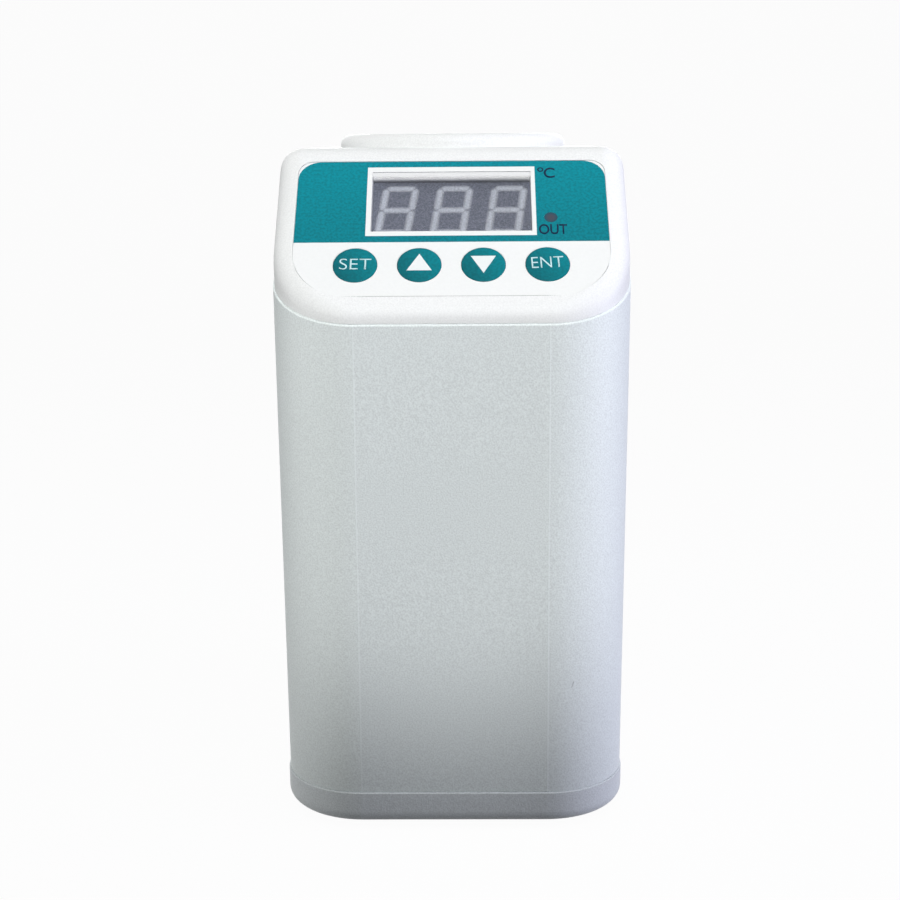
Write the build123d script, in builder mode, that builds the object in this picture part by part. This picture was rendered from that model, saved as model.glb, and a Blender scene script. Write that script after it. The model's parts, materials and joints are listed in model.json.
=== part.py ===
from build123d import *
from math import atan2, cos, degrees, hypot, radians, sin, tan
import os

# A table-top warmer for one bottle of gel, in millimetres. +Z is up and the panel faces -Y.
# The origin lies on the standing surface, under the middle of the case.

# Case: base cover, body shell and top cover, one above the other.
case_width = 125.0
corner_radius = 29.0
draft_angle = 0.4
wall = 2.6
ledge = 0.5
ledge_chamfer = 0.35
seam_groove = 0.25
foot_height = 2.0
base_height = 12.0
base_floor = 3.0
base_edge = 4.5
front_seam_height = 184.5
seam_slope = 23.2
seam_bend = 70.0
rear_rim_height = 12.5
tongue = 1.3
tongue_height = 4.0
tongue_clearance = 0.15

# Panel and deck of the top cover, with the round collar of the well.
lip_height = 5.55
panel_slope = 45.0
panel_length = 75.66
rim_radius = 9.0
collar_setback = 3.25
rear_margin = 6.75
collar_height = 5.0
collar_width = 8.25
collar_edge = 3.8
mouth_edge = 1.5

# Well: the bottle stands in a metal liner held between the deck and a seat.
bottle_bore = 70.0
well_depth = 165.0
liner_wall = 1.5
liner_flange = 4.5
liner_edge = 1.0
mouth_step = 1.0
gasket_thickness = 1.5
pad_thickness = 2.0
pad_ledge = 1.5
pad_clearance = 0.2
skirt_wall = 2.0
skirt_depth = 2.0
skirt_clearance = 0.3
seat_wall = 2.8
seat_plate = 3.0
seat_rim = 6.0
seat_clearance = 0.2
seat_window = 28.0
leg_width = 7.0
leg_spread = 66.0
leg_pitch = 28.0

# Heater mat, insulation and the two temperature pieces in the slot at the front of both.
heater_thickness = 1.5
heater_length = 95.0
heater_lift = 20.0
heater_slot = 22.0
heater_tab_width = 4.0
heater_tab_height = 12.0
heater_tab_lift = 3.0
sleeve_thickness = 4.0
sleeve_lift = 12.0
sleeve_drop = 35.5
sleeve_slot = 26.0
strap_thickness = 0.6
strap_width = 6.0
probe_recess = 0.5
sensor_width = 8.0
sensor_length = 16.0
sensor_lift = 35.0
cutout_width = 10.0
cutout_length = 20.0
cutout_lift = 70.0

# Overlay, window and keys, measured in the panel's plane from its foot.
overlay_thickness = 0.8
overlay_recess = 1.0
overlay_side_margin = 7.0
overlay_low_margin = 5.5
overlay_high_margin = 7.0
overlay_low_radius = 20.0
overlay_high_radius = 5.5
overlay_clearance = 0.15
window_width = 57.2
window_height = 28.6
window_rise = 49.3
window_clearance = 0.05
window_flange = 1.9
window_flange_thickness = 0.8
key_diameter = 15.4
key_pitch = 22.3
key_rise = 19.5
key_clearance = 0.1
key_flange_thickness = 0.9
key_flange_width = 0.8
key_edge = 0.4
key_stem_diameter = 4.4
key_travel = 0.5
lamp_diameter = 4.7
lamp_offset = 35.3
lamp_rise = 41.2
lamp_length = 8.6
lamp_leg_diameter = 0.6
lamp_leg_pitch = 2.54

# Display board behind the panel.
display_depth = 4.9
display_width = 57.0
display_height = 27.7
display_thickness = 7.8
hood_wall = 1.8
hood_depth = 9.5
digit_pitch = 19.7
digit_width = 10.5
digit_height = 21.1
digit_stroke = 2.1
digit_slant = 7.5
digit_gap = 0.25
digit_relief = 0.2
board_thickness = 1.6
display_board_width = 80.0
display_board_low = 8.5
display_board_high = 68.0
display_post_margin = 4.0
switch_size = 6.0
switch_height = 3.5
plunger_diameter = 3.4
plunger_clearance = 0.05
plunger_rise = 1.5
plunger_depth = 1.2
plunger_gap = 0.3
board_post_diameter = 5.5
board_screw_diameter = 2.2
board_screw_length = 8.0
board_screw_head = 4.4
board_screw_head_height = 1.8
board_hole_clearance = 0.05
connector_width = 10.0
connector_height = 5.0
connector_depth = 5.0
connector_offset = 11.0
connector_rise = 14.0
chip_size = 10.0
chip_height = 1.6
chip_offset = -10.0
chip_rise = 30.0

# Fastening of the case.
boss_inset = 15.2
boss_diameter = 9.0
boss_length = 30.0
rib_width = 2.2
case_screw_diameter = 3.0
case_screw_length = 20.0
case_head_diameter = 5.6
case_head_height = 2.2
screw_clearance = 0.3
lug_drop = 6.0
lug_thickness = 6.0
foot_diameter = 14.0
foot_recess = 1.5
foot_edge = 0.6
foot_spread = 94.0
foot_pitch = 88.0

# Rear recess with the power inlet and the power switch.
inlet_height = 40.0
recess_width = 54.0
recess_height = 30.0
recess_depth = 6.0
recess_corner = 3.0
jack_x = -14.0
jack_flange_diameter = 12.0
jack_flange = 2.0
jack_barrel_diameter = 8.0
jack_barrel_length = 16.0
jack_bore = 6.4
jack_bore_depth = 12.0
jack_pin_diameter = 2.1
jack_pin_setback = 1.0
jack_pin_edge = 0.35
jack_pin_root = 3.0
jack_root_diameter = 2.8
jack_nut_width = 11.0
jack_nut_thickness = 2.2
terminal_length = 5.0
terminal_thickness = 0.8
rocker_x = 12.0
bezel_width = 15.0
bezel_height = 21.0
bezel_thickness = 2.0
switch_body_width = 12.9
switch_body_height = 19.2
switch_body_depth = 16.0
rocker_width = 10.0
rocker_length = 14.6
rocker_rise = 3.4
rocker_dip = 1.5
rocker_base = 1.3
rocker_clearance = 0.3
rocker_angle = 11.0
rocker_setback = 1.2
trunnion_diameter = 2.0
trunnion_length = 0.8
trunnion_clearance = 0.05

# Power board on the base, and the wires.
power_board_width = 78.0
power_board_depth = 40.0
power_board_setback = 32.0
power_post_height = 6.0
power_post_diameter = 6.0
power_post_margin = 4.0
power_screw_length = 6.5
block_length = 20.0
block_depth = 8.0
block_height = 10.0
block_offset = 19.0
block_setback = 2.0
header_length = 10.0
header_depth = 5.0
header_height = 7.0
relay_length = 19.0
relay_depth = 15.0
relay_height = 15.0
capacitor_diameter = 10.0
capacitor_height = 16.0
regulator_length = 10.0
regulator_depth = 4.6
regulator_height = 15.0
lead_diameter = 1.6
signal_diameter = 1.2
harness_pitch = 1.6
harness_run = 35.0
harness_reach = 80.0
harness_shift = 4.0
plug_run = 10.0
harness_low_bend = 90.0
harness_high_bend = 60.0
plug_bend = 8.0
heater_run = 13.0
heater_rise = 33.0
cutout_run = 20.0
cutout_rise = 41.0
cutout_drop = 8.0
tab_drop = 15.0
block_bend = 8.0
rise_bend = 16.0
tab_bend = 4.0
cutout_bend = 12.0
link_bend = 5.0
sensor_drop = 13.0
sensor_reach = 25.0
sensor_rise = 55.0
header_rise = 22.0

# Places that follow from the sizes above.
collar_bore = bottle_bore + 2 * mouth_step
collar_diameter = collar_bore + 2 * collar_width
panel_run = panel_length * cos(radians(panel_slope))
case_depth = panel_run + collar_setback + collar_diameter + rear_margin
base_seam = foot_height + base_height
base_top = foot_height + base_floor
panel_foot = front_seam_height + lip_height
deck_height = panel_foot + panel_length * sin(radians(panel_slope))
rear_seam_height = deck_height - rear_rim_height
front_lug_top = front_seam_height - lug_drop
rear_lug_top = rear_seam_height - lug_drop
reach = case_width + case_depth + deck_height
collar_top = deck_height + collar_height
well_y = case_depth / 2 - rear_margin - collar_diameter / 2
liner_floor = collar_top - well_depth - pad_thickness
liner_bottom = liner_floor - liner_wall
liner_top = deck_height - wall - gasket_thickness
liner_radius = bottle_bore / 2 + liner_wall
liner_flange_radius = liner_radius + liner_flange
heater_radius = liner_radius + heater_thickness
sleeve_radius = heater_radius + sleeve_thickness
heater_bottom = liner_bottom + heater_lift
heater_tab_bottom = heater_bottom + heater_tab_lift
heater_tab_top = heater_tab_bottom + heater_tab_height
sleeve_bottom = liner_bottom + sleeve_lift
sleeve_top = deck_height - sleeve_drop
sensor_height = heater_bottom + sensor_lift
cutout_height = heater_bottom + cutout_lift
probe_thickness = heater_thickness + sleeve_thickness - probe_recess
probe_back = well_y - liner_radius
seat_radius = liner_radius + seat_clearance + seat_wall
overlay_width = case_width - 2 * overlay_side_margin
overlay_height = panel_length - overlay_low_margin - overlay_high_margin
key_places = [((step - 1.5) * key_pitch, key_rise) for step in range(4)]
key_radius = key_diameter / 2
board_level = display_depth + display_thickness
board_back = board_level + board_thickness
switch_top = board_level - switch_height
plunger_top = switch_top - plunger_rise
display_post_places = [
    (-key_pitch, display_board_low + display_post_margin),
    (key_pitch, display_board_low + display_post_margin),
    (display_post_margin - display_board_width / 2, display_board_high - display_post_margin),
    (display_board_width / 2 - display_post_margin, display_board_high - display_post_margin),
]
boss_x = case_width / 2 - boss_inset
boss_y = case_depth / 2 - boss_inset
front_corners = [(-boss_x, -boss_y), (boss_x, -boss_y)]
rear_corners = [(-boss_x, boss_y), (boss_x, boss_y)]
all_corners = front_corners + rear_corners
head_seat = base_seam - case_head_height - wall
recess_floor = case_depth / 2 - recess_depth
switch_back = recess_floor - switch_body_depth
jack_back = recess_floor - jack_barrel_length
rocker_hinge = recess_floor + bezel_thickness - rocker_setback
rocker_swing = hypot(rocker_length / 2, rocker_rise) + rocker_clearance
power_board_y = power_board_setback - case_depth / 2
power_board_bottom = base_top + power_post_height
power_board_top = power_board_bottom + board_thickness
block_x = block_offset - power_board_width / 2
block_back = power_board_y + power_board_depth / 2 - block_setback
block_entry = power_board_top + block_height * 0.45
harness_y = power_board_y - 10.0
sensor_header_y = power_board_y - 8.0

panel_plane = Plane(
    origin=(0, -case_depth / 2, panel_foot),
    x_dir=(1, 0, 0),
    z_dir=(0, -sin(radians(panel_slope)), cos(radians(panel_slope))),
)


def below_panel(depth):
    """Plane at a depth under the panel; its Y runs up the slope from the panel's foot."""
    return panel_plane.offset(-depth)


def behind_panel(x, rise, depth):
    """Point at a place on the panel and a depth under it."""
    return below_panel(depth).from_local_coords(Vector(x, rise, 0))


def well_level(height):
    """Horizontal plane centred on the well."""
    return Plane(origin=(0, well_y, height))


def board_level_at(height):
    """Horizontal plane centred on the power board."""
    return Plane(origin=(0, power_board_y, height))


def rear_level(y):
    """Upright plane that faces the rear, level with the inlet."""
    return Plane(origin=(0, y, inlet_height), x_dir=(1, 0, 0), z_dir=(0, 1, 0))


def growth(height):
    """How far a drafted wall has moved out at a height."""
    return height * tan(radians(draft_angle))


def drafted_block(inset, bottom, top):
    """Solid of the case's plan between two heights, an inset inside the body's outside."""
    spread = growth(bottom) - inset
    with BuildPart(mode=Mode.PRIVATE) as block:
        with BuildSketch(Plane.XY.offset(bottom)):
            RectangleRounded(case_width + 2 * spread, case_depth + 2 * spread, corner_radius + spread)
        extrude(amount=top - bottom, taper=-draft_angle)
    return block.part


def band(outer_inset, inner_inset, bottom, top):
    """Ring that follows the case's plan between two insets."""
    with BuildPart(mode=Mode.PRIVATE) as ring:
        add(drafted_block(outer_inset, bottom, top))
        add(drafted_block(inner_inset, bottom, top), mode=Mode.SUBTRACT)
    return ring.part


def above_seam(rise):
    """All the space over the slanted seam, the seam moved up by a rise."""
    front = case_depth / 2 + growth(front_seam_height)
    slope = tan(radians(seam_slope))
    low = front_seam_height - (reach - front) * slope + rise
    high = rear_seam_height + rise
    knee = (rear_seam_height - front_seam_height) / slope - front
    with BuildPart(mode=Mode.PRIVATE) as space:
        with BuildSketch(Plane.YZ):
            with BuildLine():
                FilletPolyline((-reach, low), (knee, high), (reach, high), radius=seam_bend)
                Polyline((reach, high), (reach, 2 * reach), (-reach, 2 * reach), (-reach, low))
            make_face()
        extrude(amount=reach, both=True)
    return space.part


def cover_form(depth):
    """The top cover's outer form, or what is left of it at a depth under its surface."""
    with BuildPart(mode=Mode.PRIVATE) as form:
        add(drafted_block(ledge + depth, base_seam, deck_height - depth))
        split(bisect_by=below_panel(depth), keep=Keep.BOTTOM)
        deck = form.faces().sort_by(Axis.Z)[-1]
        panel = form.faces().sort_by(Axis((0, 0, 0), (0, -1, 1)))[-1]
        rim = panel.edges() + deck.edges().sort_by(Axis.Y)[1:]
        fillet(rim, radius=rim_radius - depth)
    return form.part


def outer_edges(faces):
    """Edges that bound a group of touching faces as a whole."""
    edges = [edge for face in faces for edge in face.edges()]
    return ShapeList(edge for edge in edges if sum(edge.is_same(other) for other in edges) == 1)


def corner_ribs(places, bottom, top):
    """Upright ribs that run from bosses in the case's corners into its wall."""
    with BuildPart(mode=Mode.PRIVATE) as ribs:
        with BuildSketch(Plane.XY.offset(bottom)):
            for x, y in places:
                with Locations(Location((x, y, 0), (0, 0, degrees(atan2(y / boss_y, x / boss_x))))):
                    Rectangle(2 * boss_inset, rib_width, align=(Align.MIN, Align.CENTER))
        extrude(amount=top - bottom)
        add(drafted_block(wall / 2, bottom, top), mode=Mode.INTERSECT)
    return ribs.part


def overlay_outline(clearance):
    """Outline of the overlay: large radii at the low corners, small ones at the high corners."""
    with BuildSketch(mode=Mode.PRIVATE) as outline:
        with Locations((0, overlay_low_margin + overlay_height / 2)):
            Rectangle(overlay_width + 2 * clearance, overlay_height + 2 * clearance)
        fillet(outline.vertices().group_by(Axis.Y)[0], radius=overlay_low_radius + clearance)
        fillet(outline.vertices().group_by(Axis.Y)[-1], radius=overlay_high_radius + clearance)
    return outline.sketch


def screws(places, seat, length, plane):
    """Pan-head screws whose heads lie under a seat at a height of the plane."""
    with BuildPart(mode=Mode.PRIVATE) as group:
        with BuildSketch(plane.offset(seat - case_head_height)):
            with Locations(*places):
                Circle(case_head_diameter / 2)
        extrude(amount=case_head_height)
        with BuildSketch(plane.offset(seat)):
            with Locations(*places):
                Circle(case_screw_diameter / 2)
        extrude(amount=length)
    return group.part


def lead(points, bends, diameter):
    """A round insulated wire along straight runs joined by tangent arcs."""
    with BuildPart(mode=Mode.PRIVATE) as wire:
        with BuildLine() as route:
            FilletPolyline(*points, radius=bends)
        with BuildSketch(Plane(origin=route.line @ 0, z_dir=route.line % 0)):
            Circle(diameter / 2)
        sweep(path=route.line)
    return wire.part


cover_outside = cover_form(0)
cover_inside = cover_form(wall)
cover_middle = cover_form(wall / 2)
over_seam = above_seam(0)
tongue_outer = wall + tongue_clearance
tongue_inner = tongue_outer + tongue
os.makedirs("parts", exist_ok=True)

# Base cover: a shallow tray with a rounded lower edge, a tongue that stands inside the body,
# hollow posts over the case screws, and low posts for the power board.
with BuildPart() as base_cover:
    add(drafted_block(-ledge, foot_height, base_seam))
    fillet(base_cover.faces().sort_by(Axis.Z)[0].edges(), radius=base_edge)
    chamfer(base_cover.faces().sort_by(Axis.Z)[-1].edges(), length=ledge_chamfer)
    add(drafted_block(wall - ledge, base_top, base_seam), mode=Mode.SUBTRACT)
    add(band(wall / 2, tongue_inner, base_seam - tongue_height, base_seam))
    add(band(tongue_outer, tongue_inner, base_seam, base_seam + tongue_height))
    with BuildSketch(Plane.XY.offset(base_top)):
        with Locations(*all_corners):
            Circle(case_head_diameter / 2 + screw_clearance + wall / 2)
    extrude(amount=base_seam - base_top)
    with BuildSketch(board_level_at(base_top)):
        with GridLocations(
            power_board_width - 2 * power_post_margin, power_board_depth - 2 * power_post_margin, 2, 2
        ):
            Circle(power_post_diameter / 2)
            Circle(board_screw_diameter / 2, mode=Mode.SUBTRACT)
    extrude(amount=power_post_height)
    with BuildSketch(Plane.XY):
        with Locations(*all_corners):
            Circle(case_head_diameter / 2 + screw_clearance)
    extrude(amount=head_seat, mode=Mode.SUBTRACT)
    with BuildSketch(Plane.XY):
        with Locations(*all_corners):
            Circle(case_screw_diameter / 2 + screw_clearance)
    extrude(amount=base_seam, mode=Mode.SUBTRACT)
    with BuildSketch(Plane.XY):
        with GridLocations(foot_spread, foot_pitch, 2, 2):
            Circle(foot_diameter / 2)
    extrude(amount=foot_height + foot_recess, mode=Mode.SUBTRACT)
base_cover.part.label = "base_cover"
export_step(base_cover.part, "parts/base_cover.step")

# Four soft feet in the recesses under the base cover.
with BuildPart() as rubber_feet:
    with BuildSketch(Plane.XY):
        with GridLocations(foot_spread, foot_pitch, 2, 2):
            Circle(foot_diameter / 2)
    extrude(amount=foot_height + foot_recess)
    chamfer(rubber_feet.faces().group_by(Axis.Z)[0].edges(), length=foot_edge)
rubber_feet.part.label = "rubber_feet"
export_step(rubber_feet.part, "parts/rubber_feet.step")

# Body shell: the tall drafted tube. Its upper rim follows the slanted seam, bosses and ribs
# stand in its corners, and its rear wall holds the recess of the inlet and the switch.
with BuildPart() as body_shell:
    add(drafted_block(0, base_seam, deck_height))
    add(over_seam, mode=Mode.SUBTRACT)
    chamfer(outer_edges(body_shell.faces().filter_by(lambda face: face.normal_at().Z > 0.5)), length=ledge_chamfer)
    chamfer(body_shell.faces().sort_by(Axis.Z)[0].edges(), length=seam_groove)
    add(drafted_block(wall, base_seam, deck_height), mode=Mode.SUBTRACT)
    with BuildSketch(Plane.XY.offset(base_seam)):
        with Locations(*all_corners):
            Circle(boss_diameter / 2)
    extrude(amount=boss_length)
    add(corner_ribs(all_corners, base_seam + tongue_height + wall / 2, base_seam + boss_length))
    with BuildSketch(Plane.XY.offset(front_lug_top - lug_thickness)):
        with Locations(*front_corners):
            Circle(boss_diameter / 2)
    extrude(amount=lug_thickness)
    add(corner_ribs(front_corners, front_lug_top - lug_thickness, front_lug_top))
    with BuildSketch(Plane.XY.offset(rear_lug_top - lug_thickness)):
        with Locations(*rear_corners):
            Circle(boss_diameter / 2)
    extrude(amount=lug_thickness)
    add(corner_ribs(rear_corners, rear_lug_top - lug_thickness, rear_lug_top))
    with BuildSketch(Plane.XY.offset(base_seam)):
        with Locations(*all_corners):
            Circle(case_screw_diameter / 2)
    extrude(amount=boss_length, mode=Mode.SUBTRACT)
    with BuildSketch(Plane.XY.offset(front_lug_top)):
        with Locations(*front_corners):
            Circle(case_screw_diameter / 2 + screw_clearance)
    extrude(amount=-lug_thickness, mode=Mode.SUBTRACT)
    with BuildSketch(Plane.XY.offset(rear_lug_top)):
        with Locations(*rear_corners):
            Circle(case_screw_diameter / 2 + screw_clearance)
    extrude(amount=-lug_thickness, mode=Mode.SUBTRACT)
    with BuildSketch(rear_level(recess_floor - wall)):
        RectangleRounded(recess_width + 2 * wall, recess_height + 2 * wall, recess_corner + wall)
    extrude(amount=recess_depth + wall / 2)
    with BuildSketch(rear_level(recess_floor)):
        RectangleRounded(recess_width, recess_height, recess_corner)
    extrude(amount=2 * recess_depth, mode=Mode.SUBTRACT)
    with BuildSketch(rear_level(recess_floor)):
        with Locations((jack_x, 0)):
            Circle(jack_barrel_diameter / 2)
        with Locations((rocker_x, 0)):
            Rectangle(switch_body_width, switch_body_height)
    extrude(amount=-wall, mode=Mode.SUBTRACT)
body_shell.part.label = "body_shell"
export_step(body_shell.part, "parts/body_shell.step")

# Top cover: slanted panel, flat deck and the collar round the well's mouth, with a tongue that
# reaches into the body, screw bosses, the hood of the display and posts for its board.
with BuildPart() as cover_tongue:
    add(band(tongue_outer, tongue_inner, base_seam, deck_height))
    add(above_seam(-tongue_height), mode=Mode.INTERSECT)
    add(above_seam(tongue_height), mode=Mode.SUBTRACT)
    add(cover_middle, mode=Mode.INTERSECT)

with BuildPart() as cover_bosses:
    with BuildSketch(Plane.XY.offset(front_lug_top)):
        with Locations(*front_corners):
            Circle(boss_diameter / 2)
    extrude(amount=reach)
    with BuildSketch(Plane.XY.offset(rear_lug_top)):
        with Locations(*rear_corners):
            Circle(boss_diameter / 2)
    extrude(amount=reach)
    add(cover_middle, mode=Mode.INTERSECT)

with BuildPart() as top_cover:
    add(cover_outside)
    add(over_seam, mode=Mode.INTERSECT)
    chamfer(outer_edges(top_cover.faces().filter_by(lambda face: face.normal_at().Z < -0.5)), length=seam_groove)
    add(cover_inside, mode=Mode.SUBTRACT)
    add(cover_tongue.part)
    add(cover_bosses.part)
    with BuildSketch(well_level(deck_height - wall)):
        Circle(collar_diameter / 2)
    extrude(amount=wall + collar_height)
    fillet(top_cover.faces().sort_by(Axis.Z)[-1].edges(), radius=collar_edge)
    with BuildSketch(well_level(liner_top - liner_wall - skirt_depth)):
        Circle(liner_flange_radius + skirt_clearance + skirt_wall)
        Circle(liner_flange_radius + skirt_clearance, mode=Mode.SUBTRACT)
    extrude(until=Until.NEXT)
    with BuildSketch(well_level(collar_top)):
        Circle(collar_bore / 2)
    extrude(amount=-(collar_height + wall), mode=Mode.SUBTRACT)
    fillet(top_cover.faces().sort_by(Axis.Z)[-1].inner_wires()[0].edges(), radius=mouth_edge)
    with BuildSketch(below_panel(wall / 2)):
        with Locations((0, window_rise)):
            Rectangle(window_width + 2 * hood_wall, window_height + 2 * hood_wall)
    extrude(amount=wall / 2 - hood_depth)
    with BuildSketch(below_panel(wall / 2)):
        with Locations(*display_post_places):
            Circle(board_post_diameter / 2)
    extrude(amount=wall / 2 - board_level)
    with BuildSketch(below_panel(board_level)):
        with Locations(*display_post_places):
            Circle(board_screw_diameter / 2)
    extrude(amount=board_screw_length - board_thickness, mode=Mode.SUBTRACT)
    with BuildSketch(below_panel(0)):
        add(overlay_outline(overlay_clearance))
    extrude(amount=-overlay_recess, mode=Mode.SUBTRACT)
    with BuildSketch(below_panel(overlay_recess)):
        with Locations((0, window_rise)):
            Rectangle(window_width + 2 * window_flange, window_height + 2 * window_flange)
    extrude(amount=-window_flange_thickness, mode=Mode.SUBTRACT)
    with BuildSketch(below_panel(0)):
        with Locations((0, window_rise)):
            Rectangle(window_width, window_height)
        with Locations(*key_places):
            Circle(key_radius + key_clearance)
        with Locations((lamp_offset, lamp_rise)):
            Circle(lamp_diameter / 2 + 2 * overlay_clearance)
    extrude(amount=-hood_depth, mode=Mode.SUBTRACT)
    with BuildSketch(Plane.XY.offset(front_lug_top)):
        with Locations(*front_corners):
            Circle(case_screw_diameter / 2)
    extrude(amount=case_screw_length - lug_thickness, mode=Mode.SUBTRACT)
    with BuildSketch(Plane.XY.offset(rear_lug_top)):
        with Locations(*rear_corners):
            Circle(case_screw_diameter / 2)
    extrude(amount=case_screw_length - lug_thickness, mode=Mode.SUBTRACT)
top_cover.part.label = "top_cover"
export_step(top_cover.part, "parts/top_cover.step")

# Case screws: four from below into the body, four from the body's lugs into the top cover.
base_screws = screws(all_corners, head_seat, case_screw_length, Plane.XY)
base_screws.label = "base_screws"
export_step(base_screws, "parts/base_screws.step")

with BuildPart() as cover_screws:
    add(screws(front_corners, front_lug_top - lug_thickness, case_screw_length, Plane.XY))
    add(screws(rear_corners, rear_lug_top - lug_thickness, case_screw_length, Plane.XY))
cover_screws.part.label = "cover_screws"
export_step(cover_screws.part, "parts/cover_screws.step")

# Overlay: one thin printed sheet in the panel's recess, open at the window, keys and lamp.
with BuildPart() as panel_overlay:
    with BuildSketch(below_panel(overlay_recess)):
        add(overlay_outline(0))
        with Locations((0, window_rise)):
            Rectangle(window_width, window_height, mode=Mode.SUBTRACT)
        with Locations(*key_places):
            Circle(key_radius + key_clearance, mode=Mode.SUBTRACT)
        with Locations((lamp_offset, lamp_rise)):
            Circle(lamp_diameter / 2, mode=Mode.SUBTRACT)
    extrude(amount=overlay_thickness)
panel_overlay.part.label = "panel_overlay"
export_step(panel_overlay.part, "parts/panel_overlay.step")

# Display window: a clear plate level with the overlay, with a flange under the overlay's edge.
with BuildPart() as display_window:
    with BuildSketch(below_panel(overlay_recess + window_flange_thickness)):
        with Locations((0, window_rise)):
            Rectangle(
                window_width + 2 * window_flange - 2 * window_clearance,
                window_height + 2 * window_flange - 2 * window_clearance,
            )
    extrude(amount=window_flange_thickness)
    with BuildSketch(below_panel(overlay_recess)):
        with Locations((0, window_rise)):
            Rectangle(window_width - 2 * window_clearance, window_height - 2 * window_clearance)
    extrude(amount=overlay_thickness)
display_window.part.label = "display_window"
export_step(display_window.part, "parts/display_window.step")

# Output lamp: a small tinted lens in the overlay over a round lamp on the display board.
with BuildPart() as lamp_lens:
    with BuildSketch(below_panel(overlay_recess)):
        with Locations((lamp_offset, lamp_rise)):
            Circle(lamp_diameter / 2)
    extrude(amount=overlay_thickness)
lamp_lens.part.label = "lamp_lens"
export_step(lamp_lens.part, "parts/lamp_lens.step")

with BuildPart() as output_lamp:
    with BuildSketch(below_panel(overlay_recess + seam_groove + lamp_length)):
        with Locations((lamp_offset, lamp_rise)):
            Circle(lamp_diameter / 2)
    extrude(amount=lamp_length)
    fillet(output_lamp.faces().sort_by(Axis((0, 0, 0), (0, -1, 1)))[-1].edges(), radius=lamp_diameter * 0.4)
    with BuildSketch(below_panel(board_level)):
        with Locations((lamp_offset, lamp_rise)):
            with GridLocations(lamp_leg_pitch, 1, 2, 1):
                Circle(lamp_leg_diameter / 2)
    extrude(amount=board_level - overlay_recess - seam_groove - lamp_length)
output_lamp.part.label = "output_lamp"
export_step(output_lamp.part, "parts/output_lamp.step")

# Three-digit display: one block in the hood with the unlit segments on its face.
with BuildPart() as led_display:
    with BuildSketch(below_panel(board_level)):
        with Locations((0, window_rise)):
            Rectangle(display_width, display_height)
    extrude(amount=display_thickness)
led_display.part.label = "led_display"
export_step(led_display.part, "parts/led_display.step")


def segment(start, end):
    """A display bar with pointed ends between two corners of a digit, leaning with the digit."""
    lean = tan(radians(digit_slant))
    length = hypot(end[0] - start[0], end[1] - start[1])
    along = ((end[0] - start[0]) / length, (end[1] - start[1]) / length)
    half = digit_stroke / 2
    shape = [(digit_gap, 0), (half + digit_gap, half), (length - half - digit_gap, half)]
    shape += [(length - digit_gap, 0), (length - half - digit_gap, -half), (half + digit_gap, -half)]
    upright = [
        (start[0] + a * along[0] - b * along[1], start[1] + a * along[1] + b * along[0]) for a, b in shape
    ]
    return [(x + y * lean, y) for x, y in upright]


with BuildPart() as display_digits:
    left = -digit_width / 2
    right = digit_width / 2
    top = digit_height / 2
    with BuildSketch(below_panel(display_depth)):
        with Locations(*[((step - 1) * digit_pitch, window_rise) for step in range(3)]):
            Polygon(*segment((left, top), (right, top)), align=None)
            Polygon(*segment((left, 0), (right, 0)), align=None)
            Polygon(*segment((left, -top), (right, -top)), align=None)
            Polygon(*segment((left, 0), (left, top)), align=None)
            Polygon(*segment((right, 0), (right, top)), align=None)
            Polygon(*segment((left, -top), (left, 0)), align=None)
            Polygon(*segment((right, -top), (right, 0)), align=None)
    extrude(amount=digit_relief)
display_digits.part.label = "display_digits"
export_step(display_digits.part, "parts/display_digits.step")

# Display board on the cover's posts, with its screws, chip and connector behind.
board_middle = (display_board_low + display_board_high) / 2
with BuildPart() as display_board:
    with BuildSketch(below_panel(board_back)):
        with Locations((0, board_middle)):
            Rectangle(display_board_width, display_board_high - display_board_low)
        with Locations(*display_post_places):
            Circle(board_screw_diameter / 2 + board_hole_clearance, mode=Mode.SUBTRACT)
    extrude(amount=board_thickness)
display_board.part.label = "display_board"
export_step(display_board.part, "parts/display_board.step")

with BuildPart() as display_board_screws:
    with BuildSketch(below_panel(board_back + board_screw_head_height)):
        with Locations(*display_post_places):
            Circle(board_screw_head / 2)
    extrude(amount=board_screw_head_height)
    with BuildSketch(below_panel(board_back)):
        with Locations(*display_post_places):
            Circle(board_screw_diameter / 2)
    extrude(amount=board_screw_length)
display_board_screws.part.label = "display_board_screws"
export_step(display_board_screws.part, "parts/display_board_screws.step")

with BuildPart() as display_board_chips:
    with BuildSketch(below_panel(board_back + chip_height)):
        with Locations((chip_offset, chip_rise)):
            Rectangle(chip_size, chip_size)
    extrude(amount=chip_height)
    with BuildSketch(below_panel(board_back + connector_depth)):
        with Locations((connector_offset, connector_rise)):
            Rectangle(connector_width, connector_height)
    extrude(amount=connector_depth)
display_board_chips.part.label = "display_board_chips"
export_step(display_board_chips.part, "parts/display_board_chips.step")

# Key switches on the board: square blocks, each with a well for its plunger.
with BuildPart() as key_switches:
    with BuildSketch(below_panel(board_level)):
        with Locations(*key_places):
            Rectangle(switch_size, switch_size)
    extrude(amount=switch_height)
    with BuildSketch(below_panel(switch_top)):
        with Locations(*key_places):
            Circle(plunger_diameter / 2 + plunger_clearance)
    extrude(amount=-(plunger_depth + key_travel + plunger_gap), mode=Mode.SUBTRACT)
key_switches.part.label = "key_switches"
export_step(key_switches.part, "parts/key_switches.step")

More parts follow.
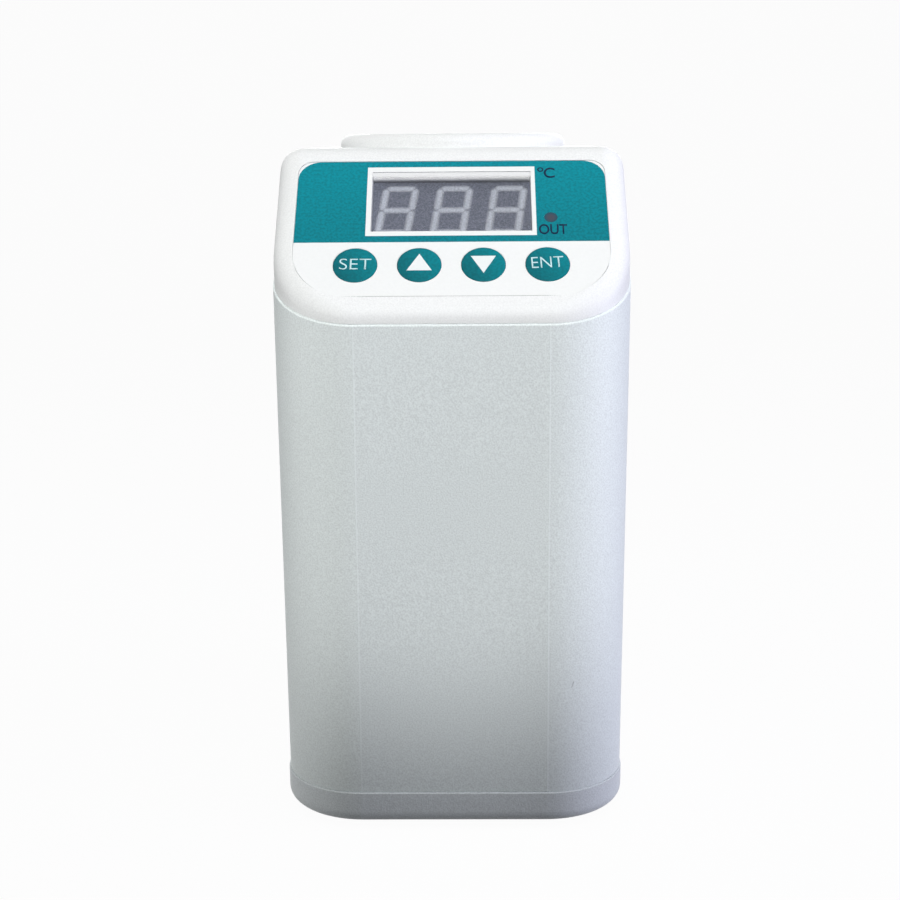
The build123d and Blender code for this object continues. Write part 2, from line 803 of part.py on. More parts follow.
# The four keys: a round cap in the panel's hole, a flange behind the panel that keeps it in,
# and a stem down to the switch plunger, which moves with it.
for name, place in zip(("set", "up", "down", "enter"), key_places):
    with BuildPart() as button:
        with BuildSketch(below_panel(wall + key_clearance)):
            with Locations(place):
                Circle(key_radius)
        extrude(amount=wall + key_clearance)
        fillet(button.faces().sort_by(Axis((0, 0, 0), (0, -1, 1)))[-1].edges(), radius=key_edge)
        with BuildSketch(below_panel(wall + key_clearance)):
            with Locations(place):
                Circle(key_radius + key_clearance + key_flange_width)
        extrude(amount=-key_flange_thickness)
        with BuildSketch(below_panel(plunger_top)):
            with Locations(place):
                Circle(key_stem_diameter / 2)
        extrude(amount=plunger_top - wall - key_clearance)
    button.part.label = f"{name}_button"
    export_step(button.part, f"parts/{name}_button.step")
    with BuildPart() as plunger:
        with BuildSketch(below_panel(plunger_top)):
            with Locations(place):
                Circle(plunger_diameter / 2)
        extrude(amount=-(plunger_rise + plunger_depth))
    plunger.part.label = f"{name}_plunger"
    export_step(plunger.part, f"parts/{name}_plunger.step")

# Well liner: a metal cup with a flange that presses the gasket up against the deck, and a ledge
# at its floor round the pocket of the soft pad that the bottle stands on.
with BuildPart() as well_liner:
    with BuildSketch(well_level(liner_bottom)):
        Circle(liner_radius)
    extrude(amount=liner_top - liner_bottom)
    fillet(well_liner.faces().sort_by(Axis.Z)[0].edges(), radius=liner_edge)
    with BuildSketch(well_level(liner_top)):
        Circle(liner_flange_radius)
    extrude(amount=-liner_wall)
    with BuildSketch(well_level(liner_floor)):
        Circle(bottle_bore / 2 - pad_ledge)
    extrude(amount=pad_thickness, mode=Mode.SUBTRACT)
    with BuildSketch(well_level(liner_floor + pad_thickness)):
        Circle(bottle_bore / 2)
    extrude(amount=liner_top - liner_floor - pad_thickness, mode=Mode.SUBTRACT)
well_liner.part.label = "well_liner"
export_step(well_liner.part, "parts/well_liner.step")

with BuildPart() as well_gasket:
    with BuildSketch(well_level(liner_top)):
        Circle(liner_flange_radius)
        Circle(collar_bore / 2, mode=Mode.SUBTRACT)
    extrude(amount=gasket_thickness)
well_gasket.part.label = "well_gasket"
export_step(well_gasket.part, "parts/well_gasket.step")

with BuildPart() as bottle_pad:
    with BuildSketch(well_level(liner_floor)):
        Circle(bottle_bore / 2 - pad_ledge - pad_clearance)
    extrude(amount=pad_thickness)
bottle_pad.part.label = "bottle_pad"
export_step(bottle_pad.part, "parts/bottle_pad.step")

# Well seat: a plate on four legs that stands on the base and locates the liner's bottom.
with BuildPart() as well_seat:
    with BuildSketch(well_level(liner_bottom)):
        Circle(seat_radius)
        Circle(seat_window / 2, mode=Mode.SUBTRACT)
    extrude(amount=-seat_plate)
    with BuildSketch(well_level(liner_bottom)):
        Circle(seat_radius)
        Circle(seat_radius - seat_wall, mode=Mode.SUBTRACT)
    extrude(amount=seat_rim)
    with BuildSketch(well_level(base_top)):
        with GridLocations(leg_spread, leg_pitch, 2, 2):
            Rectangle(leg_width, leg_width)
    extrude(amount=liner_bottom - seat_plate - base_top)
well_seat.part.label = "well_seat"
export_step(well_seat.part, "parts/well_seat.step")

# Heater mat round the liner, open in front but for two terminal tabs at its lower edge.
with BuildPart() as heater_mat:
    with BuildSketch(well_level(heater_bottom)):
        Circle(heater_radius)
        Circle(liner_radius, mode=Mode.SUBTRACT)
    extrude(amount=heater_length)
    with BuildSketch(well_level(heater_bottom)):
        Rectangle(heater_slot - 2 * heater_tab_width, reach, align=(Align.CENTER, Align.MAX))
    extrude(amount=heater_length, mode=Mode.SUBTRACT)
    with BuildSketch(well_level(heater_tab_top)):
        Rectangle(heater_slot, reach, align=(Align.CENTER, Align.MAX))
    extrude(amount=heater_length, mode=Mode.SUBTRACT)
    with BuildSketch(well_level(heater_bottom)):
        Rectangle(heater_slot, reach, align=(Align.CENTER, Align.MAX))
    extrude(amount=heater_tab_lift, mode=Mode.SUBTRACT)
heater_mat.part.label = "heater_mat"
export_step(heater_mat.part, "parts/heater_mat.step")

with BuildPart() as insulation_sleeve:
    with BuildSketch(well_level(sleeve_bottom)):
        Circle(sleeve_radius)
        Circle(heater_radius, mode=Mode.SUBTRACT)
        Rectangle(sleeve_slot, reach, align=(Align.CENTER, Align.MAX), mode=Mode.SUBTRACT)
    extrude(amount=sleeve_top - sleeve_bottom)
insulation_sleeve.part.label = "insulation_sleeve"
export_step(insulation_sleeve.part, "parts/insulation_sleeve.step")

# Two straps round the sleeve hold the temperature sensor and the thermal cut-out on the liner.
with BuildPart() as sleeve_straps:
    for height in (sensor_height, cutout_height):
        with BuildSketch(well_level(height - strap_width / 2)):
            Circle(sleeve_radius + strap_thickness)
            Circle(sleeve_radius, mode=Mode.SUBTRACT)
        extrude(amount=strap_width)
sleeve_straps.part.label = "sleeve_straps"
export_step(sleeve_straps.part, "parts/sleeve_straps.step")

with BuildPart() as temperature_sensor:
    with BuildSketch(Plane.XY.offset(sensor_height - sensor_length / 2)):
        with Locations((0, probe_back)):
            Rectangle(sensor_width, probe_thickness, align=(Align.CENTER, Align.MAX))
    extrude(amount=sensor_length)
    fillet(temperature_sensor.edges().filter_by(Axis.Z).group_by(Axis.Y)[0], radius=1.2)
temperature_sensor.part.label = "temperature_sensor"
export_step(temperature_sensor.part, "parts/temperature_sensor.step")

with BuildPart() as thermal_cutout:
    with BuildSketch(Plane.XY.offset(cutout_height - cutout_length / 2)):
        with Locations((0, probe_back)):
            Rectangle(cutout_width, probe_thickness, align=(Align.CENTER, Align.MAX))
    extrude(amount=cutout_length)
thermal_cutout.part.label = "thermal_cutout"
export_step(thermal_cutout.part, "parts/thermal_cutout.step")

# Power board on the base's posts, with its screws and parts.
with BuildPart() as power_board:
    with BuildSketch(board_level_at(power_board_bottom)):
        Rectangle(power_board_width, power_board_depth)
        with GridLocations(
            power_board_width - 2 * power_post_margin, power_board_depth - 2 * power_post_margin, 2, 2
        ):
            Circle(board_screw_diameter / 2 + board_hole_clearance, mode=Mode.SUBTRACT)
    extrude(amount=board_thickness)
power_board.part.label = "power_board"
export_step(power_board.part, "parts/power_board.step")

with BuildPart() as power_board_screws:
    with BuildSketch(board_level_at(power_board_top)):
        with GridLocations(
            power_board_width - 2 * power_post_margin, power_board_depth - 2 * power_post_margin, 2, 2
        ):
            Circle(board_screw_head / 2)
    extrude(amount=board_screw_head_height)
    with BuildSketch(board_level_at(power_board_top)):
        with GridLocations(
            power_board_width - 2 * power_post_margin, power_board_depth - 2 * power_post_margin, 2, 2
        ):
            Circle(board_screw_diameter / 2)
    extrude(amount=-power_screw_length)
power_board_screws.part.label = "power_board_screws"
export_step(power_board_screws.part, "parts/power_board_screws.step")

with BuildPart() as terminal_block:
    with BuildSketch(Plane.XY.offset(power_board_top)):
        with Locations((block_x, block_back)):
            Rectangle(block_length, block_depth, align=(Align.CENTER, Align.MAX))
    extrude(amount=block_height)
terminal_block.part.label = "terminal_block"
export_step(terminal_block.part, "parts/terminal_block.step")

with BuildPart() as heater_relay:
    with BuildSketch(board_level_at(power_board_top)):
        with Locations((power_board_width * 0.28, power_board_depth * 0.2)):
            Rectangle(relay_length, relay_depth)
    extrude(amount=relay_height)
heater_relay.part.label = "heater_relay"
export_step(heater_relay.part, "parts/heater_relay.step")

with BuildPart() as power_board_parts:
    with BuildSketch(board_level_at(power_board_top)):
        with Locations((0, power_board_depth * 0.2)):
            Circle(capacitor_diameter / 2)
    extrude(amount=capacitor_height)
    with BuildSketch(board_level_at(power_board_top)):
        with Locations((-power_board_width * 0.28, -power_board_depth * 0.15)):
            Rectangle(regulator_length, regulator_depth)
    extrude(amount=regulator_height)
    with BuildSketch(Plane.XY.offset(power_board_top)):
        with Locations((connector_offset, harness_y), (0, sensor_header_y)):
            Rectangle(header_length, header_depth)
    extrude(amount=header_height)
power_board_parts.part.label = "power_board_parts"
export_step(power_board_parts.part, "parts/power_board_parts.step")

# Power inlet: a round socket through the recess floor, its centre pin, nut and terminals.
with BuildPart() as dc_jack:
    with BuildSketch(rear_level(recess_floor)):
        with Locations((jack_x, 0)):
            Circle(jack_flange_diameter / 2)
    extrude(amount=jack_flange)
    with BuildSketch(rear_level(recess_floor)):
        with Locations((jack_x, 0)):
            Circle(jack_barrel_diameter / 2)
    extrude(amount=-jack_barrel_length)
    with BuildSketch(rear_level(recess_floor + jack_flange)):
        with Locations((jack_x, 0)):
            Circle(jack_bore / 2)
    extrude(amount=-jack_bore_depth, mode=Mode.SUBTRACT)
    with BuildSketch(rear_level(recess_floor + jack_flange - jack_bore_depth)):
        with Locations((jack_x, 0)):
            Circle(jack_root_diameter / 2)
    extrude(amount=-jack_pin_root, mode=Mode.SUBTRACT)
dc_jack.part.label = "dc_jack"
export_step(dc_jack.part, "parts/dc_jack.step")

with BuildPart() as jack_pin:
    with BuildSketch(rear_level(recess_floor + jack_flange - jack_bore_depth - jack_pin_root)):
        with Locations((jack_x, 0)):
            Circle(jack_root_diameter / 2)
    extrude(amount=jack_pin_root)
    with BuildSketch(rear_level(recess_floor + jack_flange - jack_bore_depth)):
        with Locations((jack_x, 0)):
            Circle(jack_pin_diameter / 2)
    extrude(amount=jack_bore_depth - jack_pin_setback)
    chamfer(jack_pin.faces().sort_by(Axis.Y)[-1].edges(), length=jack_pin_edge)
jack_pin.part.label = "jack_pin"
export_step(jack_pin.part, "parts/jack_pin.step")

with BuildPart() as jack_nut:
    with BuildSketch(rear_level(recess_floor - wall)):
        with Locations((jack_x, 0)):
            RegularPolygon(jack_nut_width / 2, 6, major_radius=False)
            Circle(jack_barrel_diameter / 2, mode=Mode.SUBTRACT)
    extrude(amount=-jack_nut_thickness)
jack_nut.part.label = "jack_nut"
export_step(jack_nut.part, "parts/jack_nut.step")

with BuildPart() as inlet_terminals:
    with BuildSketch(rear_level(jack_back)):
        with Locations((jack_x, 0)):
            with GridLocations(1, jack_barrel_diameter / 2, 1, 2):
                Rectangle(3 * terminal_thickness, terminal_thickness)
    extrude(amount=-terminal_length)
    with BuildSketch(rear_level(switch_back)):
        with Locations((rocker_x, 0)):
            with GridLocations(1, switch_body_height / 2, 1, 2):
                Rectangle(6 * terminal_thickness, terminal_thickness)
    extrude(amount=-1.5 * terminal_length)
inlet_terminals.part.label = "inlet_terminals"
export_step(inlet_terminals.part, "parts/inlet_terminals.step")

# Power switch: a bezel and body through the recess floor, and a rocker on two trunnions,
# drawn in the off position with its upper end out.
with BuildPart() as switch_body:
    with BuildSketch(rear_level(recess_floor)):
        with Locations((rocker_x, 0)):
            Rectangle(bezel_width, bezel_height)
    extrude(amount=bezel_thickness)
    chamfer(switch_body.faces().sort_by(Axis.Y)[-1].edges(), length=bezel_thickness / 4)
    with BuildSketch(rear_level(recess_floor)):
        with Locations((rocker_x, 0)):
            Rectangle(switch_body_width, switch_body_height)
    extrude(amount=-switch_body_depth)
    with BuildSketch(rear_level(recess_floor + bezel_thickness)):
        with Locations((rocker_x, 0)):
            Rectangle(rocker_width + 2 * rocker_clearance, 2 * rocker_swing)
    extrude(amount=-(rocker_setback + rocker_swing), mode=Mode.SUBTRACT)
    with BuildSketch(Plane(origin=(rocker_x, rocker_hinge, inlet_height), x_dir=(0, 1, 0), z_dir=(1, 0, 0))):
        Circle(trunnion_diameter / 2 + trunnion_clearance)
    extrude(amount=rocker_width / 2 + trunnion_length + 3 * trunnion_clearance, both=True, mode=Mode.SUBTRACT)
switch_body.part.label = "switch_body"
export_step(switch_body.part, "parts/switch_body.step")

off_plane = Plane(
    origin=(rocker_x, rocker_hinge, inlet_height),
    x_dir=(0, cos(radians(rocker_angle)), -sin(radians(rocker_angle))),
    z_dir=(1, 0, 0),
)
with BuildPart() as power_rocker:
    with BuildSketch(off_plane):
        with BuildLine():
            Polyline(
                (rocker_rise, -rocker_length / 2),
                (rocker_dip, 0),
                (rocker_rise, rocker_length / 2),
                (-rocker_base, rocker_length / 2),
                (-rocker_base, -rocker_length / 2),
                close=True,
            )
        make_face()
    extrude(amount=rocker_width / 2, both=True)
    with BuildSketch(off_plane):
        Circle(trunnion_diameter / 2)
    extrude(amount=rocker_width / 2 + trunnion_length, both=True)
power_rocker.part.label = "power_rocker"
export_step(power_rocker.part, "parts/power_rocker.step")

# Wires from the inlet to the switch and from both to the terminal block.
jack_end = jack_back - terminal_length
switch_end = switch_back - 1.5 * terminal_length
jack_terminal = jack_barrel_diameter / 4
switch_terminal = switch_body_height / 4
with BuildPart() as supply_leads:
    add(
        lead(
            [
                (jack_x, jack_end, inlet_height + jack_terminal),
                (jack_x, jack_end - 18, inlet_height + jack_terminal),
                (rocker_x, switch_end - 15, inlet_height + switch_terminal),
                (rocker_x, switch_end, inlet_height + switch_terminal),
            ],
            [9, 8],
            lead_diameter,
        )
    )
    add(
        lead(
            [
                (rocker_x, switch_end, inlet_height - switch_terminal),
                (rocker_x, switch_end - 20, inlet_height - switch_terminal),
                (block_x + 6, well_y - 23, block_entry),
                (block_x + 6, block_back, block_entry),
            ],
            [12, 12],
            lead_diameter,
        )
    )
    add(
        lead(
            [
                (jack_x, jack_end, inlet_height - jack_terminal),
                (jack_x, jack_end - 22, inlet_height - jack_terminal),
                (block_x + 2, well_y - 21, block_entry),
                (block_x + 2, block_back, block_entry),
            ],
            [14, 14],
            lead_diameter,
        )
    )
supply_leads.part.label = "supply_leads"
export_step(supply_leads.part, "parts/supply_leads.step")

# Wires from the terminal block up the front of the well to the heater's tab and the cut-out,
# and the short one from the cut-out back to the heater's other tab.
sleeve_front = well_y - sleeve_radius - 3.5
probe_lead_y = probe_back - probe_thickness * 0.6
tab_x = heater_slot / 2 - heater_tab_width / 2
tab_face = well_y - (heater_radius**2 - (tab_x - lead_diameter / 2) ** 2) ** 0.5 - pad_clearance
tab_middle = heater_tab_bottom + heater_tab_height / 2
cutout_bottom = cutout_height - cutout_length / 2
with BuildPart() as heater_leads:
    add(
        lead(
            [
                (block_x - 3, block_back, block_entry),
                (block_x - 3, block_back + heater_run, block_entry),
                (tab_x, sleeve_front, block_entry + heater_rise),
                (tab_x, sleeve_front, tab_middle),
                (tab_x, tab_face, tab_middle),
            ],
            [block_bend, rise_bend, tab_bend],
            lead_diameter,
        )
    )
    add(
        lead(
            [
                (block_x - 7, block_back, block_entry),
                (block_x - 7, block_back + cutout_run, block_entry),
                (cutout_width * 0.4, sleeve_front, block_entry + cutout_rise),
                (cutout_width * 0.4, sleeve_front, cutout_bottom - cutout_drop - sleeve_thickness * 3),
                (cutout_width * 0.4, probe_lead_y, cutout_bottom - cutout_drop),
                (cutout_width * 0.4, probe_lead_y, cutout_bottom),
            ],
            [cutout_bend, rise_bend, cutout_bend, cutout_bend],
            lead_diameter,
        )
    )
    add(
        lead(
            [
                (-cutout_width * 0.3, probe_lead_y, cutout_bottom),
                (-cutout_width * 0.3, probe_lead_y, cutout_bottom - cutout_drop),
                (-tab_x + 0.4, tab_face + 0.6, cutout_bottom - tab_drop),
                (-tab_x + 0.4, tab_face + 0.6, heater_tab_top + 0.1),
            ],
            [link_bend, link_bend],
            signal_diameter,
        )
    )
heater_leads.part.label = "heater_leads"
export_step(heater_leads.part, "parts/heater_leads.step")

sensor_bottom = sensor_height - sensor_length / 2
with BuildPart() as sensor_leads:
    for x in (-signal_diameter, signal_diameter):
        add(
            lead(
                [
                    (x, probe_lead_y, sensor_bottom),
                    (x, probe_lead_y, sensor_bottom - sensor_drop),
                    (x, sleeve_front, sensor_bottom - sensor_reach),
                    (x, sleeve_front, block_entry + sensor_rise),
                    (x, sensor_header_y, block_entry + header_rise),
                    (x, sensor_header_y, power_board_top + header_height),
                ],
                [14, 14, 20, 12],
                signal_diameter,
            )
        )
sensor_leads.part.label = "sensor_leads"
export_step(sensor_leads.part, "parts/sensor_leads.step")

# Flat harness of four wires from the power board up to the connector behind the panel.
plug_end = behind_panel(0, connector_rise, board_back + connector_depth)
plug_approach = behind_panel(0, connector_rise, board_back + connector_depth + plug_run)
with BuildPart() as display_harness:
    for step in range(4):
        x = connector_offset + (step - 1.5) * harness_pitch
        add(
            lead(
                [
                    (x, harness_y, power_board_top + header_height),
                    (x, harness_y, power_board_top + header_height + harness_run),
                    (x, harness_y - harness_shift, power_board_top + header_height + harness_reach),
                    (x, plug_approach.Y, plug_approach.Z),
                    (x, plug_end.Y, plug_end.Z),
                ],
                [harness_low_bend, harness_high_bend, plug_bend],
                signal_diameter,
            )
        )
display_harness.part.label = "display_harness"
export_step(display_harness.part, "parts/display_harness.step")
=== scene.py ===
import json
from math import cos, exp, pi, radians, sin, tan

import bmesh
import bpy
from mathutils import Matrix, Vector


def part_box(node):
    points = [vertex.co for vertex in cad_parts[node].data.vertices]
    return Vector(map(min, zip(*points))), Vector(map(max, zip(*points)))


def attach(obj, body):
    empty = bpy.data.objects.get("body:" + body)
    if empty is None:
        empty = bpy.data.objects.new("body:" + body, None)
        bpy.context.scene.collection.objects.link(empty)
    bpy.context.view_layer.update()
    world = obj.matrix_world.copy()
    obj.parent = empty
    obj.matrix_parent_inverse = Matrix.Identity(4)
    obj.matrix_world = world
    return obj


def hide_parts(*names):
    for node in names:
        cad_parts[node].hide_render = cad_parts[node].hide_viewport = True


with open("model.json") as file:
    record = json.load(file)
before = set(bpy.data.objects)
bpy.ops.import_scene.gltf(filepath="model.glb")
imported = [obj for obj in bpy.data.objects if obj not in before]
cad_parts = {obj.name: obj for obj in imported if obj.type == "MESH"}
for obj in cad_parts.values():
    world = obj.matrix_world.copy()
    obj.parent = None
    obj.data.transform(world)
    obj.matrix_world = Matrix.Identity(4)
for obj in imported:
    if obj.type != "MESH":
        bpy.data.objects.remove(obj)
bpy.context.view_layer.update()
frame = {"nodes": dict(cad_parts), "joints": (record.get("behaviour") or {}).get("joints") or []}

# Camera. The case is seen from in front, a little to the right of its middle, at the height of
# the deck and tipped down, with a long lens that keeps the tall sides nearly upright.
camera = bpy.data.objects.new("camera", bpy.data.cameras.new("camera"))
camera.data.sensor_width = 36.0
camera.data.lens = 60.16
tip_down, turn_left, roll = radians(11.59), radians(0.66), radians(-0.4)
level_right = Vector((cos(turn_left), sin(turn_left), 0))
level_ahead = Vector((-sin(turn_left), cos(turn_left), 0))
ahead = level_ahead * cos(tip_down) - Vector((0, 0, sin(tip_down)))
upward = level_ahead * sin(tip_down) + Vector((0, 0, cos(tip_down)))
right = level_right * cos(roll) + upward * sin(roll)
top = upward * cos(roll) - level_right * sin(roll)
viewpoint = (0.00513, -0.5863, 0.2456)
camera_turn = Matrix((right, top, -ahead)).transposed().to_4x4()
camera.matrix_world = Matrix.Translation(viewpoint) @ camera_turn
bpy.context.scene.collection.objects.link(camera)
bpy.context.scene.camera = camera
bpy.context.scene.view_settings.view_transform = "Standard"


# Studio. A pale sweep under and behind the case, a large soft lamp overhead, a cool lamp at the
# right and a weak one at the left. A soft cone of light on the panel and the upper front and a
# wide lamp for the back both leave the floor alone.
class Reading:
    """A value that changes over a surface; sums on it are written as sums."""

    def __init__(self, finish, socket):
        self.finish = finish
        self.socket = socket

    def maths(self, operation, *others):
        return self.finish.node("ShaderNodeMath", {"operation": operation}, (self, *others))

    def __add__(self, other):
        return self.maths("ADD", other)

    def __sub__(self, other):
        return self.maths("SUBTRACT", other)

    def __mul__(self, other):
        return self.maths("MULTIPLY", other)

    def __truediv__(self, other):
        return self.maths("DIVIDE", other)

    def __pow__(self, other):
        return self.maths("POWER", other)

    __radd__ = __add__
    __rmul__ = __mul__

    def __abs__(self):
        return self.maths("ABSOLUTE")

    def least(self, other):
        return self.maths("MINIMUM", other)

    def most(self, other):
        return self.maths("MAXIMUM", other)

    def rounded(self):
        return self.maths("ROUND")

    def ramp(self, low, high, from_value=0.0, to_value=1.0):
        """Runs smoothly from one value at low to another at high."""
        settings = {"interpolation_type": "SMOOTHSTEP"}
        return self.finish.node("ShaderNodeMapRange", settings, [self, low, high, from_value, to_value])


class Finish:
    """The node tree of one finish, with its nodes added one at a time."""

    def __init__(self, name, owner=None, end="ShaderNodeOutputMaterial"):
        self.material = owner or bpy.data.materials.new(name)
        self.material.use_nodes = True
        self.tree = self.material.node_tree
        self.tree.nodes.clear()
        self.end = self.tree.nodes.new(end)

    def node(self, kind, settings, sockets, output=0):
        """One node: its settings come first, then its sockets by order or by name."""
        made = self.tree.nodes.new(kind)
        for name, value in settings.items():
            setattr(made, name, value)
        for key, value in sockets.items() if isinstance(sockets, dict) else enumerate(sockets):
            if isinstance(value, Reading):
                self.tree.links.new(value.socket, made.inputs[key])
            elif isinstance(value, tuple) and len(value) == 3 and made.inputs[key].type == "RGBA":
                made.inputs[key].default_value = (*value, 1.0)
            else:
                made.inputs[key].default_value = value
        return Reading(self, made.outputs[output])

    def place(self):
        """Where a point lies on the piece, in metres: across, along and up."""
        point = self.node("ShaderNodeTexCoord", {}, {}, "Object")
        return [self.node("ShaderNodeSeparateXYZ", {}, [point], axis) for axis in ("X", "Y", "Z")]

    def noise(self, scale, detail=2.0, stretch=(1.0, 1.0, 1.0)):
        """Cloudy values from 0 to 1 about one half; scale is in waves to the metre."""
        point = self.node("ShaderNodeTexCoord", {}, {}, "Object")
        point = self.node("ShaderNodeVectorMath", {"operation": "MULTIPLY"}, [point, stretch])
        return self.node("ShaderNodeTexNoise", {}, {"Vector": point, "Scale": scale, "Detail": detail})

    def mix(self, share, first, second):
        """One colour that turns into another as the share goes from 0 to 1."""
        settings = {"data_type": "RGBA"}
        return self.node("ShaderNodeMix", settings, {0: share, 6: first, 7: second}, 2)

    def bump(self, height, strength, depth):
        """A surface normal for a relief of that depth, in metres."""
        sockets = {"Height": height, "Strength": strength, "Distance": depth}
        return self.node("ShaderNodeBump", {}, sockets)

    def surface(self, **sockets):
        """Ends the finish in one coated surface; the names are its sockets', joined with _."""
        named = {name.replace("_", " "): value for name, value in sockets.items()}
        self.close(self.node("ShaderNodeBsdfPrincipled", {}, named))

    def close(self, shader):
        self.tree.links.new(shader.socket, self.end.inputs["Surface"])

    def coat(self, *nodes):
        """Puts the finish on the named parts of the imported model."""
        for name in nodes:
            piece = frame["nodes"][name]
            piece.data.materials.clear()
            piece.data.materials.append(self.material)


def seen_directly(finish):
    """1 where the camera, a reflection or a clear piece shows the surface, else 0."""
    from_camera, mirrored, through_clear = [
        finish.node("ShaderNodeLightPath", {}, {}, f"Is {ray} Ray")
        for ray in ("Camera", "Glossy", "Transmission")
    ]
    return from_camera.most(mirrored).most(through_clear)


world = bpy.data.worlds.new("studio")
bpy.context.scene.world = world
room = Finish("room", world, "ShaderNodeOutputWorld")
room_light = room.node("ShaderNodeBackground", {}, {"Color": (0.97, 0.98, 1.0), "Strength": 0.06})
room_seen = room.node("ShaderNodeBackground", {}, {"Color": (0.985, 0.985, 0.985), "Strength": 1.0})
room.close(room.node("ShaderNodeMixShader", {}, [seen_directly(room), room_light, room_seen]))

floor_paper = Finish("floor_paper")
paper_lit = floor_paper.node("ShaderNodeBsdfDiffuse", {}, {"Color": (0.25, 0.25, 0.25)})
paper_shown = floor_paper.node("ShaderNodeBsdfDiffuse", {}, {"Color": (0.05, 0.05, 0.05)})
paper_glow = floor_paper.node("ShaderNodeEmission", {}, {"Color": (1.0, 1.0, 1.0), "Strength": 0.962})
paper_seen = floor_paper.node("ShaderNodeAddShader", {}, [paper_shown, paper_glow])
floor_paper.close(
    floor_paper.node("ShaderNodeMixShader", {}, [seen_directly(floor_paper), paper_lit, paper_seen])
)
sweep = bmesh.new()
sweep_reach, bend_start, bend_radius = 2.6, 1.6, 0.7
sweep_profile = [(-sweep_reach, 0.0), (bend_start, 0.0)]
for bend in [radians(11.25 * step) for step in range(1, 9)]:
    sweep_profile.append((bend_start + bend_radius * sin(bend), bend_radius - bend_radius * cos(bend)))
sweep_profile.append((bend_start + bend_radius, sweep_reach))
edge_points = [[sweep.verts.new((x, y, z)) for x in (-sweep_reach, sweep_reach)] for y, z in sweep_profile]
for lower, upper in zip(edge_points, edge_points[1:]):
    sweep.faces.new((lower[0], lower[1], upper[1], upper[0]))
floor = bpy.data.objects.new("floor", bpy.data.meshes.new("floor"))
sweep.to_mesh(floor.data)
floor.data.materials.append(floor_paper.material)
for face in floor.data.polygons:
    face.use_smooth = True
bpy.context.scene.collection.objects.link(floor)


def soft_lamp(name, kind, place, target, power, colour, **shape):
    """A lamp on a stand at a place, turned to a target, that the camera can't see itself."""
    lamp = bpy.data.lights.new(name, kind)
    lamp.energy, lamp.color = power, colour
    for setting, value in shape.items():
        setattr(lamp, setting, value)
    stand = bpy.data.objects.new(name, lamp)
    stand.location = place
    stand.rotation_euler = (Vector(target) - Vector(place)).to_track_quat("-Z", "Y").to_euler()
    stand.visible_camera = False
    bpy.context.scene.collection.objects.link(stand)
    return stand


wide = {"shape": "RECTANGLE", "size": 0.9, "size_y": 0.7}
square = {"shape": "RECTANGLE", "size": 0.5, "size_y": 0.5}
cone = {"spot_size": radians(11.7), "spot_blend": 0.45, "shadow_soft_size": 0.03}
white, cool = (1.0, 1.0, 1.0), (0.80, 0.80, 1.0)
soft_lamp("overhead_lamp", "AREA", (0.0, -0.35, 1.15), (0, 0, 0.15), 2.7, white, **wide)
front_stand = soft_lamp("front_lamp", "SPOT", (0.03, -1.23, 1.14), (0, -0.076, 0.219), 61.0, white, **cone)
soft_lamp("right_lamp", "AREA", (1.1, -0.2, 0.22), (0.06, 0, 0.12), 8.1, cool, **square)
soft_lamp("left_lamp", "AREA", (-1.1, -0.2, 0.12), (-0.06, 0, 0.08), 4.3, white, **square)
rear_stand = soft_lamp("rear_lamp", "AREA", (0.0, 1.35, 0.36), (0, 0.08, 0.13), 15.0, white, **wide)
off_the_floor = bpy.data.collections.new("off_the_floor")
off_the_floor.objects.link(floor)
off_the_floor.collection_objects[0].light_linking.link_state = "EXCLUDE"
for stand in (front_stand, rear_stand):
    stand.light_linking.receiver_collection = off_the_floor


# Body shell and base cover. Tall moulded ABS tube with a fine spark texture and a shallow tray
# under it, screwed together from below; faint lines show where the flats of the mould end, each a
# slight ridge with a painted highlight along it, and the front has one short scratch.
flat_edge, scratch_across, scratch_up = 0.0337, 0.0426, 0.0547


def moulded_plastic(name, colour, grain_depth, fleck, lines=False):
    """Flecks go both ways about a middle share below 1, because a mix of colours ends at 1."""
    finish = Finish(name)
    grain = finish.noise(1900.0, 0.5)
    cloud = finish.noise(11.0, 2.0)
    middle_share = 0.925
    shade = middle_share + (cloud - 0.5) * 0.05 + (grain - 0.5) * fleck
    height = grain
    if lines:
        across, along, up = finish.place()
        front = along.ramp(-0.074, -0.073, 1.0, 0.0)
        ridge_and_highlight = abs(abs(across) - flat_edge).ramp(0.00012, 0.00038, 1.0, 0.0) * front
        beside, above = across - scratch_across, up - scratch_up
        scratch_width = abs(beside * 0.96 - above * 0.28).ramp(0.00008, 0.0003, 1.0, 0.0)
        scratch_length = abs(above * 0.96 + beside * 0.28).ramp(0.0008, 0.0016, 1.0, 0.0)
        # Painted highlight: the mould lines are painted a little lighter where their ridge catches the
        # light; the bump gives the ridge itself.
        shade = shade + ridge_and_highlight * 0.075 - scratch_width * scratch_length * front * 0.3
        height = grain + ridge_and_highlight * 0.8
    brightest = tuple(part / middle_share for part in colour)
    finish.surface(
        Base_Color=finish.mix(shade, (0.0, 0.0, 0.0), brightest),
        Roughness=0.52 + (grain - 0.5) * 0.2,
        Specular_IOR_Level=0.35,
        Normal=finish.bump(height, 0.5, grain_depth),
    )
    return finish


shell_plastic = moulded_plastic("shell_plastic", (0.808, 0.866, 0.857), 0.00010, 0.33, lines=True)
shell_plastic.coat("body_shell")
tray_plastic = moulded_plastic("tray_plastic", (0.725, 0.768, 0.776), 0.00010, 0.33)
tray_plastic.coat("base_cover")

# Top cover. A smoother moulding of the same resin, its colour painted brighter than the shell's
# as painted light, with the slanted panel, the flat deck and the round collar; its tongue drops
# inside the body and four screws hold it down.
lit_cover_plastic = moulded_plastic("lit_cover_plastic", (0.875, 0.890, 0.883), 0.00008, 0.17)
lit_cover_plastic.coat("top_cover")


